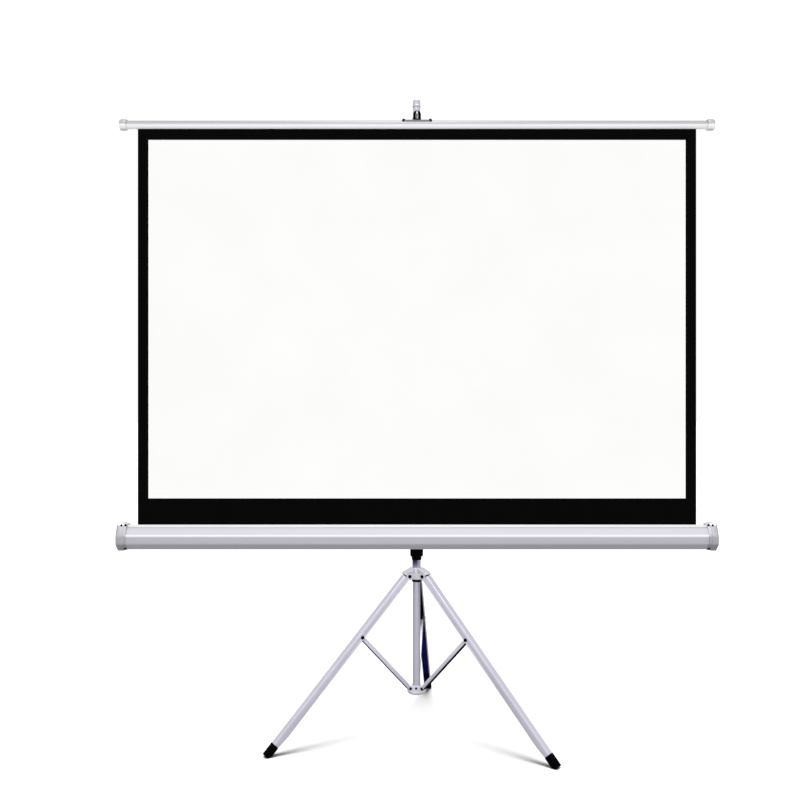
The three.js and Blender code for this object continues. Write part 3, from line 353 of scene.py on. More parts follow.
def new_finish(name, colour, roughness, metallic=0.0, specular=0.5):
    """A material whose shader holds the plain values, and that shader."""
    material = bpy.data.materials.new(name)
    material.use_nodes = True
    shader = material.node_tree.nodes["Principled BSDF"]
    shader.inputs["Base Color"].default_value = (*colour, 1)
    shader.inputs["Roughness"].default_value = roughness
    shader.inputs["Metallic"].default_value = metallic
    shader.inputs["Specular IOR Level"].default_value = specular
    return material, shader


def noise_on_piece(material, scale, stretch=EVEN, detail=4.0):
    """Noise fixed to the piece, with scale as blotches to the metre."""
    spot = node_in(material, "ShaderNodeTexCoord")
    mapping = node_in(material, "ShaderNodeMapping", {"Scale": stretch})
    noise = node_in(material, "ShaderNodeTexNoise", {"Scale": scale, "Detail": detail})
    join(material, spot.outputs["Object"], mapping.inputs["Vector"])
    join(material, mapping.outputs["Vector"], noise.inputs["Vector"])
    return noise.outputs["Fac"]


def vary_colour(material, shader, colour, spread, scale, stretch=EVEN):
    """Lets the colour drift by a share of itself, and returns the colour socket."""
    ramp = node_in(material, "ShaderNodeValToRGB")
    low, high = ramp.color_ramp.elements
    low.position, high.position = NOISE_LOW, NOISE_HIGH
    low.color = (*(c * (1 - spread) for c in colour), 1)
    high.color = (*(min(1.0, c * (1 + spread)) for c in colour), 1)
    join(material, noise_on_piece(material, scale, stretch), ramp.inputs["Fac"])
    join(material, ramp.outputs["Color"], shader.inputs["Base Color"])
    return ramp.outputs["Color"]


def vary_gloss(material, shader, low, high, scale, stretch=EVEN):
    """Lets the roughness drift between two values."""
    spread = node_in(
        material,
        "ShaderNodeMapRange",
        {"From Min": NOISE_LOW, "From Max": NOISE_HIGH, "To Min": low, "To Max": high},
    )
    join(material, noise_on_piece(material, scale, stretch), spread.inputs["Value"])
    join(material, spread.outputs["Result"], shader.inputs["Roughness"])


def grain(material, shader, scale, depth, stretch=EVEN):
    """Fine relief, with depth in metres."""
    bump = node_in(
        material, "ShaderNodeBump", {"Strength": GRAIN_STRENGTH, "Distance": depth}
    )
    height = noise_on_piece(material, scale, stretch, detail=2.0)
    join(material, height, bump.inputs["Height"])
    join(material, bump.outputs["Normal"], shader.inputs["Normal"])


def worked(name, colour, drift, gloss, relief, **plain):
    """A finish with drifting colour, varied gloss and fine relief.

    Returns the material, its shader and the socket of the drifting colour.
    """
    material, shader = new_finish(name, colour, **plain)
    drifting = vary_colour(material, shader, colour, **drift)
    vary_gloss(material, shader, **gloss)
    grain(material, shader, **relief)
    return material, shader, drifting


def drawn(name, colour, spread, low, high, **plain):
    """A worked finish with the faint lines of the die along the section's length."""
    return worked(
        name,
        colour,
        drift={"spread": spread, "scale": 300, "stretch": (0.004, 1, 1)},
        gloss={"low": low, "high": high, "scale": 500, "stretch": (0.003, 1, 1)},
        relief={"scale": 900, "depth": 0.00004, "stretch": (0.002, 1, 1)},
        **plain,
    )


def wear_edges(material, shader, colour_socket, bare, share):
    """Rubs the paint off the rounded edges in patches."""
    edge = node_in(material, "ShaderNodeAttribute", attribute_name=WORN)
    patches = node_in(
        material,
        "ShaderNodeMapRange",
        {"From Min": PATCH_LOW, "From Max": PATCH_HIGH, "To Min": 0.0, "To Max": share},
    )
    both = node_in(material, "ShaderNodeMath", operation="MULTIPLY")
    mix = node_in(material, "ShaderNodeMix", data_type="RGBA")
    join(material, noise_on_piece(material, PATCH_SCALE), patches.inputs["Value"])
    join(material, edge.outputs["Fac"], both.inputs[0])
    join(material, patches.outputs["Result"], both.inputs[1])
    join(material, both.outputs["Value"], mix.inputs["Factor"])
    join(material, colour_socket, mix.inputs["A"])
    mix.inputs["B"].default_value = (*bare, 1)
    join(material, mix.outputs["Result"], shader.inputs["Base Color"])


def shade_by_height(material, colour_socket, low, high, stops):
    """Multiplies a colour by shades at shares of the height from low to high.

    Returns the mixing node, whose factor may be linked.
    """
    spot = node_in(material, "ShaderNodeTexCoord")
    height = node_in(material, "ShaderNodeSeparateXYZ")
    span = node_in(material, "ShaderNodeMapRange", {"From Min": low, "From Max": high})
    shade = node_in(material, "ShaderNodeValToRGB")
    set_stops(shade, stops)
    both = node_in(material, "ShaderNodeMix", data_type="RGBA", blend_type="MULTIPLY")
    both.inputs["Factor"].default_value = 1.0
    join(material, spot.outputs["Object"], height.inputs["Vector"])
    join(material, height.outputs["Z"], span.inputs["Value"])
    join(material, span.outputs["Result"], shade.inputs["Fac"])
    join(material, colour_socket, both.inputs["A"])
    join(material, shade.outputs["Color"], both.inputs["B"])
    return both


def silver_paint():
    """Satin paint on steel tube and pressings, thin at the edges."""
    material, shader, drift = worked("silver_paint", colours().paint, **PAINT)
    wear_edges(material, shader, drift, **PAINT_WEAR)
    return material


def column_paint():
    """The same paint, with painted shade on the column just under the carriage, darkest on its left side."""
    material, shader, drift = worked("column_paint", colours().paint, **PAINT)
    low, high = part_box("leg_hub")[1].z, middle("carriage").z
    # Painted shade multiplied onto the paint just under the carriage
    under_carriage_shade = shade_by_height(material, drift, low, high, PAINTED_SHADE_UNDER_CARRIAGE)
    # The painted shade is full on the column's left half and fades out towards its right edge
    spot = node_in(material, "ShaderNodeTexCoord")
    across = node_in(material, "ShaderNodeSeparateXYZ")
    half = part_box("column_tube")[1].x
    left = node_in(
        material,
        "ShaderNodeMapRange",
        {"From Min": 0.0, "From Max": half, "To Min": 1.0, "To Max": 0.0},
    )
    join(material, spot.outputs["Object"], across.inputs["Vector"])
    join(material, across.outputs["X"], left.inputs["Value"])
    join(material, left.outputs["Result"], under_carriage_shade.inputs["Factor"])
    wear_edges(material, shader, under_carriage_shade.outputs["Result"], **PAINT_WEAR)
    return material


def tube_lacquer():
    """Clear lacquer on drawn steel tube, a little darker than the paint."""
    material, shader, drift = worked(
        "tube_lacquer",
        colours().tube,
        roughness=0.36,
        metallic=0.4,
        drift={"spread": 0.05, "scale": 60, "stretch": (1, 1, 0.03)},
        gloss={"low": 0.28, "high": 0.44, "scale": 160, "stretch": (1, 1, 0.05)},
        relief={"scale": 900, "depth": 0.00004, "stretch": (1, 1, 0.02)},
    )
    wear_edges(material, shader, drift, bare=(0.7, 0.69, 0.72), share=0.4)
    return material


def cast_silver():
    """Painted castings, with the soft unevenness of a sand blasted surface."""
    material, shader, drift = worked(
        "cast_silver",
        colours().casting,
        roughness=0.45,
        metallic=0.2,
        drift={"spread": 0.07, "scale": 60},
        gloss={"low": 0.38, "high": 0.55, "scale": 120},
        relief={"scale": 700, "depth": 0.00025},
    )
    wear_edges(material, shader, drift, bare=(0.8, 0.8, 0.82), share=0.7)
    return material


def drawn_aluminium():
    """Silver section of the case, with painted light and shade by height: a painted highlight along the bend and
    darker faces above and below it.
    """
    material, shader, drift = drawn(
        "drawn_aluminium", colours().aluminium, spread=0.04, low=0.54, high=0.66,
        roughness=0.6, specular=0.1,
    )
    low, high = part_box("case_shell")
    # Painted light and shade by height: full at the bend as a painted highlight, darker on the faces above and
    # below
    stops = greys(
        (0.2, 0.55), (0.27, 0.605), (0.5, 0.605), (0.545, 0.8), (0.565, 1.0), (0.6, 1.0),
        (0.64, 0.735), (0.84, 0.735), (0.87, 0.6),
    )
    faces = shade_by_height(material, drift, low.z, high.z, stops)
    wear_edges(material, shader, faces.outputs["Result"], bare=(0.85, 0.85, 0.86), share=0.3)
    return material


def pale_aluminium():
    """The case's lip, in a paler, glossier tone that is a painted highlight."""
    material, shader, drift = drawn(
        "pale_aluminium", colours().lip, spread=0.03, low=0.28, high=0.4,
        roughness=0.34, metallic=0.2,
    )
    wear_edges(material, shader, drift, bare=(0.88, 0.88, 0.89), share=0.5)
    return material


def bar_aluminium():
    """The pale section, with painted shade over its upper half and a little on its underside, its lower front left
    bright.
    """
    material, shader, drift = drawn(
        "bar_aluminium", colours().bar, spread=0.03, low=0.28, high=0.4, roughness=0.34
    )
    low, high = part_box("bar_cap_left")
    # Painted shade: darker over the upper half and a little at the bottom
    stops = greys((0.0, 0.6), (0.14, 1.0), (0.4, 1.0), (0.5, 0.56), (0.6, 0.4), (1.0, 0.34))
    bar_shade = shade_by_height(material, drift, low.z, high.z, stops)
    wear_edges(material, shader, bar_shade.outputs["Result"], bare=(0.88, 0.88, 0.89), share=0.5)
    return material


def dull_grey():
    """Dull grey of pressed plate; on the case, a painted shade line just under the lip."""
    material, _, _ = worked(
        "dull_grey",
        (0.122, 0.12, 0.135),
        roughness=0.6,
        metallic=0.2,
        drift={"spread": 0.15, "scale": 220, "stretch": (0.01, 1, 1)},
        gloss={"low": 0.5, "high": 0.7, "scale": 260, "stretch": (0.01, 1, 1)},
        relief={"scale": 900, "depth": 0.00003, "stretch": (0.002, 1, 1)},
    )
    return material


def silver_moulding():
    """Silver plastic with a fine moulded texture, with painted shade below its top edge."""
    material, shader, drift = worked(
        "silver_moulding",
        colours().moulding,
        roughness=0.5,
        metallic=0.45,
        drift={"spread": 0.05, "scale": 40},
        gloss={"low": 0.46, "high": 0.58, "scale": 90},
        relief={"scale": 1800, "depth": 0.00008},
    )
    low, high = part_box("end_cap_left")
    # Painted shade: the cap is darkened to about half below its top edge
    stops = greys((0.2, 0.46), (0.5, 0.46), (0.56, 0.5), (0.9, 0.5), (0.95, 1.0))
    cap_shade = shade_by_height(material, drift, low.z, high.z, stops)
    wear_edges(material, shader, cap_shade.outputs["Result"], bare=(0.75, 0.75, 0.77), share=0.4)
    return material


def zinc_plate():
    """Bright plated steel with a slightly clouded gloss."""
    material, shader, drift = worked(
        "zinc_plate",
        colours().zinc,
        roughness=0.3,
        metallic=0.95,
        drift={"spread": 0.1, "scale": 80},
        gloss={"low": 0.22, "high": 0.42, "scale": 150},
        relief={"scale": 900, "depth": 0.00005},
    )
    wear_edges(material, shader, drift, bare=(0.7, 0.7, 0.72), share=0.4)
    return material


def bright_plate():
    """Bright plated hook and rivet, a little scratched."""
    material, shader, drift = worked(
        "bright_plate",
        colours().bright_plate,
        roughness=0.25,
        metallic=0.7,
        drift={"spread": 0.06, "scale": 120},
        gloss={"low": 0.18, "high": 0.36, "scale": 260},
        relief={"scale": 1200, "depth": 0.00004},
    )
    wear_edges(material, shader, drift, bare=(0.9, 0.9, 0.9), share=0.4)
    return material


def black_moulding():
    """Black plastic with a spark-eroded grain."""
    material, shader, drift = worked(
        "black_moulding",
        colours().black,
        roughness=0.42,
        specular=0.02,
        drift={"spread": 0.25, "scale": 50},
        gloss={"low": 0.34, "high": 0.52, "scale": 200},
        relief={"scale": 1600, "depth": 0.00012},
    )
    wear_edges(material, shader, drift, bare=(0.016, 0.016, 0.017), share=0.6)
    return material


def black_rubber():
    """Dull rubber that has picked up a little dust."""
    material, shader, drift = worked(
        "black_rubber",
        (0.0012, 0.0012, 0.0012),
        roughness=0.75,
        specular=0.015,
        drift={"spread": 0.5, "scale": 35},
        gloss={"low": 0.66, "high": 0.86, "scale": 80},
        relief={"scale": 1100, "depth": 0.0003},
    )
    wear_edges(material, shader, drift, bare=(0.006, 0.0058, 0.0056), share=0.8)
    return material


def channel_inside_shade():
    """Painted shade inside the legs and struts: dark navy, darkened to near black towards the hub."""
    material, shader, drift = worked(
        "channel_inside_shade",
        colours().inside,
        roughness=0.6,
        specular=0.06,
        drift={"spread": 0.3, "scale": 25},
        gloss={"low": 0.4, "high": 0.65, "scale": 60},
        relief={"scale": 900, "depth": 0.0001},
    )
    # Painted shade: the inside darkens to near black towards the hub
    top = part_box("leg_hub")[0].z
    shade_to_hub = shade_by_height(material, drift, 0.0, top, greys((0.55, 1.0), (0.7, 0.06)))
    join(material, shade_to_hub.outputs["Result"], shader.inputs["Base Color"])
    return material


def painted_shade_dark():
    """Near black painted shade, with a faintly varied gloss, inside the hub's hoods and along the struts' open
    rims.
    """
    material, _, _ = worked(
        "painted_shade_dark",
        (0.006, 0.0055, 0.008),
        roughness=0.6,
        specular=0.05,
        drift={"spread": 0.35, "scale": 70},
        gloss={"low": 0.45, "high": 0.7, "scale": 120},
        relief={"scale": 800, "depth": 0.0001},
    )
    return material


def thread_relief(material, shader, depth):
    """Plain weave: two sets of threads across each other, on the cloth's own map in metres."""
    cloth_map = node_in(material, "ShaderNodeUVMap", uv_map=CLOTH_MAP)
    scale = 1 / sizes().weave_pitch / WAVE_TURN * math.pi
    woven = node_in(material, "ShaderNodeMath", operation="MULTIPLY")
    for direction, factor in zip(("X", "Y"), woven.inputs):
        wave = node_in(
            material,
            "ShaderNodeTexWave",
            {"Scale": scale, "Distortion": 0.0},
            bands_direction=direction,
        )
        join(material, cloth_map.outputs["UV"], wave.inputs["Vector"])
        join(material, wave.outputs["Fac"], factor)
    bump = node_in(
        material, "ShaderNodeBump", {"Strength": WEAVE_STRENGTH, "Distance": depth}
    )
    join(material, woven.outputs["Value"], bump.inputs["Height"])
    join(material, bump.outputs["Normal"], shader.inputs["Normal"])
    return cloth_map


def past(material, socket, limit, side):
    """1 where the socket's value is more than the limit (side 1) or less (side -1)."""
    operation = "GREATER_THAN" if side > 0 else "LESS_THAN"
    test = node_in(material, "ShaderNodeMath", operation=operation)
    join(material, socket, test.inputs[0])
    test.inputs[1].default_value = limit
    return test.outputs["Value"]


def screen_cloth(edges):
    """Matte white viewing surface inside its printed black border."""
    white, ink = colours().white, (0.0016, 0.0016, 0.0018)
    material, shader = new_finish("screen_cloth", white, roughness=0.85, specular=0.02)
    cloth_map = thread_relief(material, shader, depth=0.00012)
    across = node_in(material, "ShaderNodeSeparateXYZ")
    join(material, cloth_map.outputs["UV"], across.inputs["Vector"])
    left, right, low, high = edges
    border = past(material, across.outputs["X"], left, -1)
    for socket, limit, side in (("X", right, 1), ("Y", low, -1), ("Y", high, 1)):
        either = node_in(material, "ShaderNodeMath", operation="MAXIMUM")
        join(material, border, either.inputs[0])
        join(material, past(material, across.outputs[socket], limit, side), either.inputs[1])
        border = either.outputs["Value"]
    drift = vary_colour(material, shader, white, spread=0.012, scale=5)
    print_ink = node_in(material, "ShaderNodeMix", data_type="RGBA")
    join(material, border, print_ink.inputs["Factor"])
    join(material, drift, print_ink.inputs["A"])
    print_ink.inputs["B"].default_value = (*ink, 1)
    join(material, print_ink.outputs["Result"], shader.inputs["Base Color"])
    vary_gloss(material, shader, low=0.8, high=0.92, scale=20)
    return material


def cloth_backing():
    """Black light-stopping coat on the back of the cloth."""
    coat = (0.006, 0.006, 0.0065)
    material, shader = new_finish("cloth_backing", coat, roughness=0.8, specular=0.1)
    thread_relief(material, shader, depth=0.0001)
    vary_colour(material, shader, coat, spread=0.25, scale=8)
    vary_gloss(material, shader, low=0.7, high=0.9, scale=25)
    return material


FINISHES = {}


def finish(maker):
    """The material that a maker gives, made once."""
    if maker.__name__ not in FINISHES:
        FINISHES[maker.__name__] = maker()
    return FINISHES[maker.__name__]


def merged_copy(node):
    """A CAD node's mesh with its loose triangles joined into whole faces."""
    bm = bmesh.new()
    bm.from_mesh(frame["nodes"][node].data)
    bmesh.ops.remove_doubles(bm, verts=bm.verts, dist=MERGE)
    bmesh.ops.dissolve_limit(bm, angle_limit=SAME_PLANE, verts=bm.verts, edges=bm.edges)
    return bm


def round_edges(bm, width):
    """Rounds the sharp edges and marks the new faces as the ones that wear."""
    worn = bm.faces.layers.float.get(WORN) or bm.faces.layers.float.new(WORN)
    sharp = [e for e in bm.edges if e.is_manifold and e.calc_face_angle(0) > SHARP]
    made = bmesh.ops.bevel(
        bm,
        geom=sharp,
        offset=width,
        offset_type="OFFSET",
        affect="EDGES",
        segments=ROUND_SEGMENTS,
        profile=0.5,
        material=-1,
        loop_slide=True,
    )
    for face in made["faces"]:
        face[worn] = 1.0
    return bm


def spun(profile, centre, axis=(0, 0, 1)):
    """A closed [radius, height] profile spun about an axis through centre."""
    bm = bmesh.new()
    bm.faces.layers.float.new(WORN)
    ring = [bm.verts.new((radius, 0, height)) for radius, height in profile]
    on_axis = profile[0][0] == 0
    pairs = list(zip(ring, ring[1:])) + ([] if on_axis else [(ring[-1], ring[0])])
    edges = [bm.edges.new(pair) for pair in pairs]
    bmesh.ops.spin(
        bm,
        geom=ring + edges,
        cent=(0, 0, 0),
        axis=(0, 0, 1),
        angle=2 * math.pi,
        steps=sizes().round_steps,
        use_merge=True,
    )
    bmesh.ops.remove_doubles(bm, verts=bm.verts, dist=SPUN_MERGE)
    bmesh.ops.recalc_face_normals(bm, faces=bm.faces)
    turn = Vector((0, 0, 1)).rotation_difference(Vector(axis)).to_matrix().to_4x4()
    to_place = Matrix.Translation(Vector(centre)) @ turn
    bmesh.ops.transform(bm, matrix=to_place, verts=bm.verts)
    return bm


def place(bm, name, body, finishes):
    """Makes a piece of the mesh, in its finishes, that rides on a body."""
    mesh = bpy.data.meshes.new(name)
    bm.to_mesh(mesh)
    bm.free()
    if "custom_normal" in mesh.attributes:
        mesh.attributes.remove(mesh.attributes["custom_normal"])
    mesh.shade_smooth()
    mesh.set_sharp_from_angle(angle=SMOOTH)
    for maker in finishes:
        ready = isinstance(maker, bpy.types.Material)
        mesh.materials.append(maker if ready else finish(maker))
    piece = bpy.data.objects.new(name, mesh)
    bpy.context.scene.collection.objects.link(piece)
    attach(piece, body)
    return piece


def show(bm, node, *finishes, body=None):
    """The piece that stands for a CAD node."""
    piece = place(bm, f"{node}_dressed", body or BODY_OF[node], finishes)
    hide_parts(node)
    return piece


def dress(maker, width, *nodes):
    """CAD nodes with rounded edges in their finish."""
    for node in nodes:
        bm = merged_copy(node)
        for face in bm.faces:
            face.material_index = 0
        show(round_edges(bm, width), node, maker)


def cut_along(bm, point, normal):
    """Cuts the faces of a mesh along a plane."""
    everything = bm.verts[:] + bm.edges[:] + bm.faces[:]
    bmesh.ops.bisect_plane(bm, geom=everything, dist=MERGE, plane_co=point, plane_no=normal)
    bm.normal_update()


def surface_of(node, start, direction):
    """Where a line meets a CAD node's surface, and which way the surface faces there."""
    bm = merged_copy(node)
    tree = BVHTree.FromBMesh(bm)
    bm.free()
    spot, facing, _, _ = tree.ray_cast(Vector(start), Vector(direction))
    if spot is None:
        raise RuntimeError(f"no surface of {node} along the line from {start}")
    return spot, facing


def dome(radius, base, rise, turns):
    """Profile of a head from its upright rim up over its dome."""
    return [
        (radius * math.cos(a), base + rise * (HEAD_RIM + (1 - HEAD_RIM) * math.sin(a)))
        for a in turns
    ]


def screw_head(radius, height):
    """Profile of a domed screw head with a round socket, sunk a little into what it holds."""
    sunk, floor, socket = -height * SCREW_SUNK, height * SCREW_FLOOR, radius * SCREW_SOCKET
    top = dome(radius, 0.0, height, SCREW_DOME)
    return [(0, sunk), (radius, sunk), *top, (socket, height), (socket, floor), (0, floor)]


def middle(node):
    """Middle of a node's box."""
    low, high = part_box(node)
    return (low + high) / 2


def reach(node, centre, axis):
    """How far a node goes along an axis from centre, and its largest radius about it."""
    axis = Vector(axis).normalized()
    offsets = [v.co - Vector(centre) for v in frame["nodes"][node].data.vertices]
    along = max(offset.dot(axis) for offset in offsets)
    return along, max((o - axis * o.dot(axis)).length for o in offsets)


def tube_profile(inner, outer, low, high, rim):
    """Tube wall with its four rims broken."""
    return [
        (inner, low + rim), (inner + rim, low), (outer - rim, low), (outer, low + rim),
        (outer, high - rim), (outer - rim, high), (inner + rim, high), (inner, high - rim),
    ]


def pivot_frame(number, joint):
    """Matrix from a leg's or strut's own axes (X across, Z up along it) to the row frame."""
    pivot = Vector(JOINTS[joint]["pos_m"])
    across = -Vector(JOINTS[joint]["axis"]).normalized()
    if joint in LEG_JOINTS:
        end = Vector(JOINTS[STRUT_JOINTS[number - 1]]["pos_m"])
    else:
        end = middle(f"spider_pin_{number}")
    up = (pivot - end).normalized()
    forward = up.cross(across)
    axes = Matrix((across, forward, up)).transposed().to_4x4()
    return Matrix.Translation(pivot) @ axes


def darken_inside(bm, at, half_inside):
    """Gives the faces between a channel's side walls the second finish, their painted shade."""
    back = at.inverted()
    for face in bm.faces:
        spot = back @ face.calc_center_median()
        facing = back.to_3x3() @ face.normal
        inward = facing.x * spot.x < 0 and abs(facing.x) > SQUARE_ON
        wall = inward and abs(spot.x) < half_inside + WALL_SLACK
        web = abs(spot.x) < half_inside / 2 and abs(facing.y) > SQUARE_ON
        if wall or web:
            face.material_index = 1


class SCREEN_OT_tubes(bpy.types.Operator):
    """Column, lower tube and pole, with the tip, the plug and the hub bush"""

    bl_idname = "screen.tubes"
    bl_label = "Tubes"

    def execute(self, context):
        self.tube("column_tube", column_paint)
        self.tube("lower_tube", tube_lacquer)
        dress(silver_paint, sizes().sheet_metal_edge, "pole")
        dress(silver_paint, sizes().moulding_edge, "pole_tip")
        dress(black_moulding, sizes().moulding_edge, "pole_plug", "hub_bush")
        return {"FINISHED"}

    @staticmethod
    def tube(node, maker):
        """An upright tube, round and smooth."""
        low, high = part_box(node)
        radius = (high.x - low.x) / 2
        profile = tube_profile(radius - TUBE_WALLS[node], radius, low.z, high.z, TUBE_RIM)
        centre = ((low.x + high.x) / 2, (low.y + high.y) / 2, 0)
        show(spun(profile, centre), node, maker)


class SCREEN_OT_hub(bpy.types.Operator):
    """Leg hub, spider and the pins that the linkage turns on"""

    bl_idname = "screen.hub"
    bl_label = "Hub, spider and pins"

    def execute(self, context):
        self.hub()
        dress(cast_silver, sizes().moulding_edge, "spider")
        dress(black_moulding, sizes().sheet_metal_edge, "spider_screw")
        for number, joint in zip(NUMBERS, LEG_JOINTS):
            axis = JOINTS[joint]["axis"]
            self.pin(f"leg_pin_{number}", axis)
            self.pin(f"strut_pin_{number}", axis, sizes().strut_head / 2)
            self.pin(f"spider_pin_{number}", axis)
        return {"FINISHED"}

    @staticmethod
    def hub():
        """The cast hub, with painted shade inside the hoods and on their mouths."""
        bm = merged_copy("leg_hub")
        room = sizes().hood_inside
        for face in bm.faces:
            face.material_index = 0
        # Painted shade: faces inside each hood and on its mouth get the dark second finish
        for number, joint in zip(NUMBERS, LEG_JOINTS):
            back = pivot_frame(number, joint).inverted()
            for face in bm.faces:
                spot = back @ face.calc_center_median()
                facing = back.to_3x3() @ face.normal
                apart = math.hypot(spot.y, spot.z)
                within = apart < room and abs(facing.x) < SQUARE_ON
                mouth = apart < room * 2 and facing.z < -SQUARE_ON
                if within or mouth:
                    face.material_index = 1
        show(round_edges(bm, sizes().moulding_edge), "leg_hub", cast_silver, painted_shade_dark)

    @staticmethod
    def pin(node, axis, wide=0.0):
        """A plain pin with a domed head on each end, which may be wider than the model's."""
        centre = middle(node)
        high, head = reach(node, centre, axis)
        shank = head * PIN_SHANK
        under = high - head * PIN_RISE
        head = max(head, wide)
        over = dome(head, under, high - under, PIN_DOME)
        top = [(shank, under), (head, under), *over, (0, high)]
        profile = [(r, -h) for r, h in reversed(top)] + top
        show(spun(profile, centre, axis), node, black_moulding)


class SCREEN_OT_legs(bpy.types.Operator):
    """Channel legs with their rubber feet, and the struts"""

    bl_idname = "screen.legs"
    bl_label = "Legs and struts"

    def execute(self, context):
        for number, leg, strut, rim in zip(NUMBERS, LEG_JOINTS, STRUT_JOINTS, SHADED_RIMS):
            self.channel(f"leg_{number}", pivot_frame(number, leg), LEG_WALL, outside=1)
            at = pivot_frame(number, strut)
            self.channel(f"strut_{number}", at, STRUT_WALL, outside=-1, band=rim)
            dress(black_rubber, sizes().moulding_edge, f"foot_{number}")
        return {"FINISHED"}

    @staticmethod
    def channel(node, at, wall, outside, band=0.0):
        """A pressed channel; outside is the side of its web along the channel's own Y.

        A band along the rims of the open side can take a painted shade.
        """
        bm = merged_copy(node)
        back = at.inverted()
        half = max(abs((back @ vert.co).x) for vert in bm.verts)
        rim = max(-(back @ vert.co).y * outside for vert in bm.verts) - band
        if band:
            across = at.to_3x3() @ Vector((0, 1, 0))
            cut_along(bm, at @ Vector((0, -outside * rim, 0)), across)
        for face in bm.faces:
            face.material_index = 0
        darken_inside(bm, at, half - wall)
        for face in bm.faces:
            if (back.to_3x3() @ face.normal).y * outside > LEANING:
                face.material_index = 0
            # Painted shade on the band along the open rims
            elif band and -(back @ face.calc_center_median()).y * outside > rim:
                face.material_index = 2
        round_edges(bm, sizes().sheet_metal_edge)
        show(bm, node, silver_paint, channel_inside_shade, painted_shade_dark)


class SCREEN_OT_case(bpy.types.Operator):
    """Case shell, its end caps, and the roller inside"""

    bl_idname = "screen.case"
    bl_label = "Case and roller"

    def execute(self, context):
        fine = sizes().sheet_metal_edge
        self.shell()
        dress(silver_moulding, sizes().moulding_edge, "end_cap_left", "end_cap_right")
        self.cap_screws()
        dress(zinc_plate, fine, "roller_tube", "roller_shaft", "roller_spring")
        dress(black_moulding, fine, "idle_plug", "spring_plug", "idle_bearing")
        return {"FINISHED"}

    @staticmethod
    def shell():
        """The drawn shell, with a painted highlight on its lip and a painted shade line just under the lip."""
        bm = merged_copy("case_shell")
        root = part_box("case_shell")[1].z - sizes().lip
        shade_line = root - sizes().shade_line
        cut_along(bm, (0, 0, shade_line), (0, 0, 1))
        for face in bm.faces:
            height = face.calc_center_median().z
            # Painted highlight: the lip's faces take the paler finish
            if height > root:
                face.material_index = 1
            # Painted shade: a thin dark line on the front faces just under the lip
            elif height > shade_line and face.normal.y < -LEANING:
                face.material_index = 2
            else:
                face.material_index = 0
        round_edges(bm, sizes().sheet_metal_edge)
        show(bm, "case_shell", drawn_aluminium, pale_aluminium, dull_grey)

    @staticmethod
    def cap_screws():
        """Black screws on the caps: two on the upper slope and one on the lower slope."""
        low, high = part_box("case_shell")
        forward = Vector((0, 1, 0))
        head = sizes().cap_screw
        in_front = low.y - 0.1
        for side, node in ((-1, "end_cap_left"), (1, "end_cap_right")):
            for where, (out, share) in CAP_SCREWS.items():
                start = (side * (high.x + out), in_front, low.z + (high.z - low.z) * share)
                spot, facing = surface_of(node, start, forward)
                bm = spun(screw_head(head / 2, head * SCREW_RISE), spot, facing)
                place(bm, f"{node}_screw_{where}", "case", [black_moulding])


class SCREEN_OT_carriage(bpy.types.Operator):
    """Carriage with the saddle that holds the case, the pole collar and the two clamp knobs"""

    bl_idname = "screen.carriage"
    bl_label = "Carriage, collar and knobs"

    def execute(self, context):
        dress(black_moulding, sizes().moulding_edge, "carriage", "column_collar")
        dress(zinc_plate, sizes().sheet_metal_edge, "case_saddle", "swivel_pin")
        dress(black_moulding, sizes().moulding_edge, "pole_knob", "case_knob")
        return {"FINISHED"}


class SCREEN_OT_top_bar(bpy.types.Operator):
    """Top bar with its caps, hem rod and hanger, and the hook on the pole"""

    bl_idname = "screen.top_bar"
    bl_label = "Top bar and hook"

    def execute(self, context):
        fine, full = sizes().sheet_metal_edge, sizes().moulding_edge
        dress(bar_aluminium, fine, "top_bar")
        dress(bar_aluminium, full, "bar_cap_left", "bar_cap_right")
        dress(black_moulding, fine, "hem_rod")
        self.saddle()
        dress(black_moulding, full, "hanger_loop")
        dress(black_moulding, fine, "hanger_screw_left", "hanger_screw_right")
        dress(bright_plate, fine, "hook", "band_rivet")
        return {"FINISHED"}

    @staticmethod
    def saddle():
        """The pressed plate under the loop, with its ends dipped in black."""
        bm = merged_copy("hanger_saddle")
        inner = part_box("hanger_saddle")[1].x - sizes().dipped
        for side in (-1, 1):
            cut_along(bm, (side * inner, 0, 0), (1, 0, 0))
        for face in bm.faces:
            face.material_index = 1 if abs(face.calc_center_median().x) > inner else 0
        round_edges(bm, sizes().sheet_metal_edge)
        show(bm, "hanger_saddle", dull_grey, black_moulding)


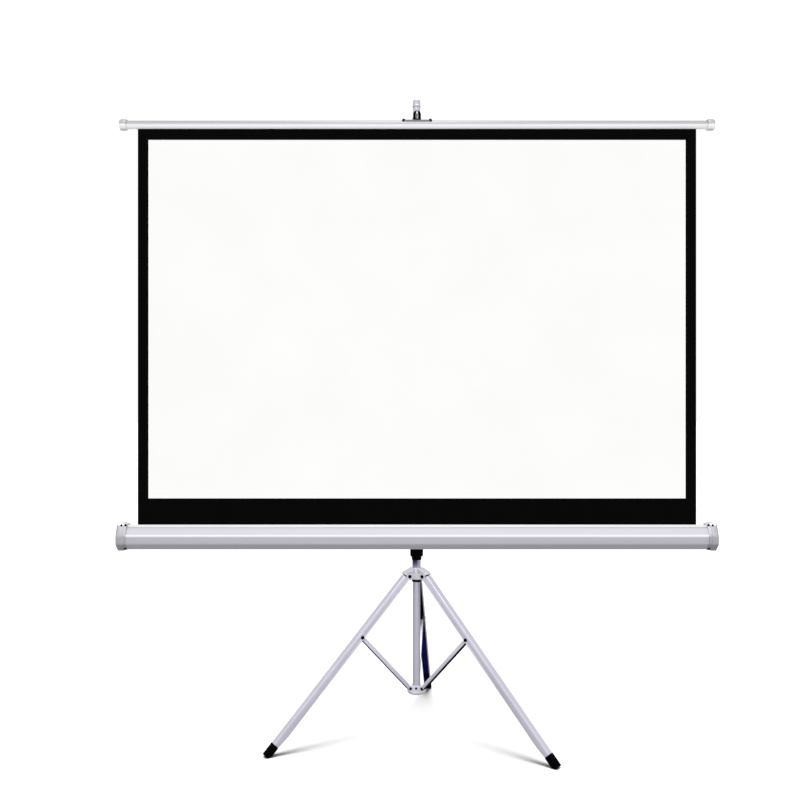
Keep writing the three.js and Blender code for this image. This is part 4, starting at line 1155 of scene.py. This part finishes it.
class SCREEN_OT_cloth(bpy.types.Operator):
    """Stretched screen cloth with its black border, and the turns left on the roller"""

    bl_idname = "screen.cloth"
    bl_label = "Screen cloth"

    def execute(self, context):
        low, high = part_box("screen_fabric")
        width, length, thickness = high.x - low.x, high.z - low.z, high.y - low.y
        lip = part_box("case_shell")[1].z
        picture_low = lip + sizes().picture_low - low.z
        side = (width - sizes().picture_width) / 2
        edges = (side, width - side, picture_low, picture_low + sizes().picture_height)
        bm = bmesh.new()
        cloth_map = bm.loops.layers.uv.new(CLOTH_MAP)
        bmesh.ops.create_grid(
            bm, x_segments=CLOTH_ACROSS, y_segments=CLOTH_UP, size=0.5, calc_uvs=True
        )
        for face in bm.faces:
            for loop in face.loops:
                across, up, _ = loop.vert.co
                loop[cloth_map].uv = ((across + 0.5) * width, (up + 0.5) * length)
        bmesh.ops.scale(bm, vec=(width, length, 1), verts=bm.verts)
        bmesh.ops.rotate(bm, matrix=Matrix.Rotation(math.pi / 2, 3, "X"), verts=bm.verts)
        bmesh.ops.translate(bm, vec=(0, low.y, (low.z + high.z) / 2), verts=bm.verts)
        bm.normal_update()
        bmesh.ops.solidify(bm, geom=bm.faces[:], thickness=-thickness)
        bmesh.ops.recalc_face_normals(bm, faces=bm.faces)
        for face in bm.faces:
            face.material_index = 1 if face.normal.y > LEANING else 0
        cloth = show(bm, "screen_fabric", screen_cloth(edges), cloth_backing, body="case")
        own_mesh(cloth)
        self.wound_turns()
        return {"FINISHED"}

    @staticmethod
    def wound_turns():
        """The sleeve of cloth on the roller, whose outside is the black end of the border."""
        low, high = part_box("wound_fabric")
        centre = (low + high) / 2
        tube_low, tube_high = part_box("roller_tube")
        inner = (tube_high.z - tube_low.z) / 2 + ROLLER_GAP
        radius, half = (high.z - low.z) / 2, (high.x - low.x) / 2
        bm = spun(tube_profile(inner, radius, -half, half, CLOTH_RIM), centre, (1, 0, 0))
        cloth_map = bm.loops.layers.uv.new(CLOTH_MAP)
        for face in bm.faces:
            for loop in face.loops:
                offset = loop.vert.co - centre
                loop[cloth_map].uv = (offset.x, math.atan2(offset.z, offset.y) * radius)
        show(bm, "wound_fabric", cloth_backing)


class SCREEN_OT_stage(bpy.types.Operator):
    """Pale floor, soft white room, lights and the camera"""

    bl_idname = "screen.stage"
    bl_label = "Studio"

    def execute(self, context):
        scene = context.scene
        studio = scene.screen_studio
        scene.view_settings.view_transform = "Standard"
        floor = self.floor()
        self.room(studio)
        legs = self.leg_pieces()
        self.lamp("overhead", studio.key, studio.softness, studio.lean, legs)
        floor_lamp = self.lamp(
            "floor_light", studio.floor_light, studio.floor_softness, studio.floor_lean, legs
        )
        floor_lamp.light_linking.receiver_collection = floor
        column = middle("column_tube")
        camera = bpy.data.objects.new("camera", bpy.data.cameras.new("camera"))
        camera.data.lens = studio.lens
        camera.data.sensor_width = SENSOR
        camera.location = (column.x + studio.side, column.y - studio.distance, studio.height)
        camera.rotation_euler = (math.pi / 2, 0, 0)
        scene.collection.objects.link(camera)
        scene.camera = camera
        return {"FINISHED"}

    @staticmethod
    def floor():
        """A wide pale floor that shows shadows and lights nothing, in a collection of its own."""
        bm = bmesh.new()
        bmesh.ops.create_grid(bm, x_segments=2, y_segments=2, size=FLOOR_HALF)
        mesh = bpy.data.meshes.new("floor")
        bm.to_mesh(mesh)
        bm.free()
        pale = (0.46, 0.46, 0.46)
        material, shader = new_finish("pale_floor", pale, roughness=0.8, specular=0.0)
        vary_colour(material, shader, pale, spread=0.01, scale=1.5)
        mesh.materials.append(material)
        floor = bpy.data.objects.new("floor", mesh)
        floor.visible_diffuse = False
        floor.visible_glossy = False
        bpy.context.scene.collection.objects.link(floor)
        alone = bpy.data.collections.new("floor")
        alone.objects.link(floor)
        return alone

    @staticmethod
    def room(studio):
        """White to the eye; for lighting, brightest at eye level and on the camera's side."""
        world = bpy.data.worlds.new("white_room")
        bpy.context.scene.world = world
        world.use_nodes = True
        background = world.node_tree.nodes["Background"]
        background.inputs["Color"].default_value = (1, 1, 1, 1)
        spot = node_in(world, "ShaderNodeTexCoord")
        axes = node_in(world, "ShaderNodeSeparateXYZ")
        seen = node_in(world, "ShaderNodeLightPath")
        join(world, spot.outputs["Generated"], axes.inputs["Vector"])

        # Brightness by height, with more of it on the camera's side
        span = node_in(world, "ShaderNodeMapRange", {"From Min": -1.0, "From Max": 1.0})
        by_height = node_in(world, "ShaderNodeValToRGB")
        by_height.color_ramp.interpolation = "EASE"
        set_stops(
            by_height,
            greys(
                (0.0, studio.below), (0.42, studio.below), (0.52, studio.level),
                (0.8, studio.overhead),
            ),
        )
        front = node_in(
            world,
            "ShaderNodeMapRange",
            {"From Min": 0.3, "From Max": -1.0, "To Min": 0.0, "To Max": studio.front},
        )
        lit = node_in(world, "ShaderNodeMath", operation="MULTIPLY_ADD")
        join(world, axes.outputs["Z"], span.inputs["Value"])
        join(world, span.outputs["Result"], by_height.inputs["Fac"])
        join(world, axes.outputs["Y"], front.inputs["Value"])
        join(world, front.outputs["Result"], lit.inputs[0])
        join(world, by_height.outputs["Color"], lit.inputs[1])
        join(world, by_height.outputs["Color"], lit.inputs[2])

        # Gloss sees a dimmer floor
        floor_in_gloss = node_in(
            world,
            "ShaderNodeMapRange",
            {"From Min": -0.3, "From Max": 0.0, "To Min": studio.mirrored},
        )
        gloss = node_in(world, "ShaderNodeMix", data_type="FLOAT")
        gloss.inputs["A"].default_value = 1.0
        dimmed = node_in(world, "ShaderNodeMath", operation="MULTIPLY")
        join(world, axes.outputs["Z"], floor_in_gloss.inputs["Value"])
        join(world, seen.outputs["Is Glossy Ray"], gloss.inputs["Factor"])
        join(world, floor_in_gloss.outputs["Result"], gloss.inputs["B"])
        join(world, gloss.outputs["Result"], dimmed.inputs[0])
        join(world, lit.outputs["Value"], dimmed.inputs[1])

        # The camera sees plain white
        pick = node_in(world, "ShaderNodeMix", data_type="FLOAT")
        pick.inputs["B"].default_value = SEEN_WHITE
        join(world, seen.outputs["Is Camera Ray"], pick.inputs["Factor"])
        join(world, dimmed.outputs["Value"], pick.inputs["A"])
        join(world, pick.outputs["Result"], background.inputs["Strength"])

    @staticmethod
    def leg_pieces():
        """The legs and their feet, which cast the shadows; the wide screen above casts none."""
        casters = bpy.data.collections.new("legs")
        for number in NUMBERS:
            for node in (f"leg_{number}", f"foot_{number}"):
                casters.objects.link(bpy.data.objects[f"{node}_dressed"])
        return casters

    @staticmethod
    def lamp(name, strength, softness, lean, casters):
        """A wide soft light from above and a little in front."""
        light = bpy.data.lights.new(name, "SUN")
        light.energy = strength
        light.angle = softness
        made = bpy.data.objects.new(name, light)
        made.location = LAMP_PLACE
        made.rotation_euler = Vector((0, lean, -1)).to_track_quat("-Z", "Y").to_euler()
        bpy.context.scene.collection.objects.link(made)
        made.light_linking.blocker_collection = casters
        return made


class SCREEN_PT_panel(bpy.types.Panel):
    """Sizes, colours and steps of the tripod screen"""

    bl_idname = "SCREEN_PT_panel"
    bl_label = "Tripod Screen"
    bl_space_type = "VIEW_3D"
    bl_region_type = "UI"
    bl_category = "Screen"

    def draw(self, context):
        for name in GROUPS:
            group = getattr(context.scene, name)
            box = self.layout.box()
            for setting in group.__annotations__:
                box.prop(group, setting)
        for operator in OPERATORS:
            self.layout.operator(operator.bl_idname)


GROUPS = {
    "screen_sizes": ScreenSizes,
    "screen_colours": ScreenColours,
    "screen_studio": ScreenStudio,
}
OPERATORS = (
    SCREEN_OT_tubes,
    SCREEN_OT_hub,
    SCREEN_OT_legs,
    SCREEN_OT_case,
    SCREEN_OT_carriage,
    SCREEN_OT_top_bar,
    SCREEN_OT_cloth,
    SCREEN_OT_stage,
)


def register():
    for cls in (*GROUPS.values(), *OPERATORS, SCREEN_PT_panel):
        bpy.utils.register_class(cls)
    for name, group in GROUPS.items():
        setattr(bpy.types.Scene, name, bpy.props.PointerProperty(type=group))


def unregister():
    for name in GROUPS:
        delattr(bpy.types.Scene, name)
    for cls in reversed((*GROUPS.values(), *OPERATORS, SCREEN_PT_panel)):
        bpy.utils.unregister_class(cls)


def main():
    register()
    bpy.ops.screen.tubes()
    bpy.ops.screen.hub()
    bpy.ops.screen.legs()
    bpy.ops.screen.case()
    bpy.ops.screen.carriage()
    bpy.ops.screen.top_bar()
    bpy.ops.screen.cloth()
    bpy.ops.screen.stage()


if __name__ == "__main__":
    main()
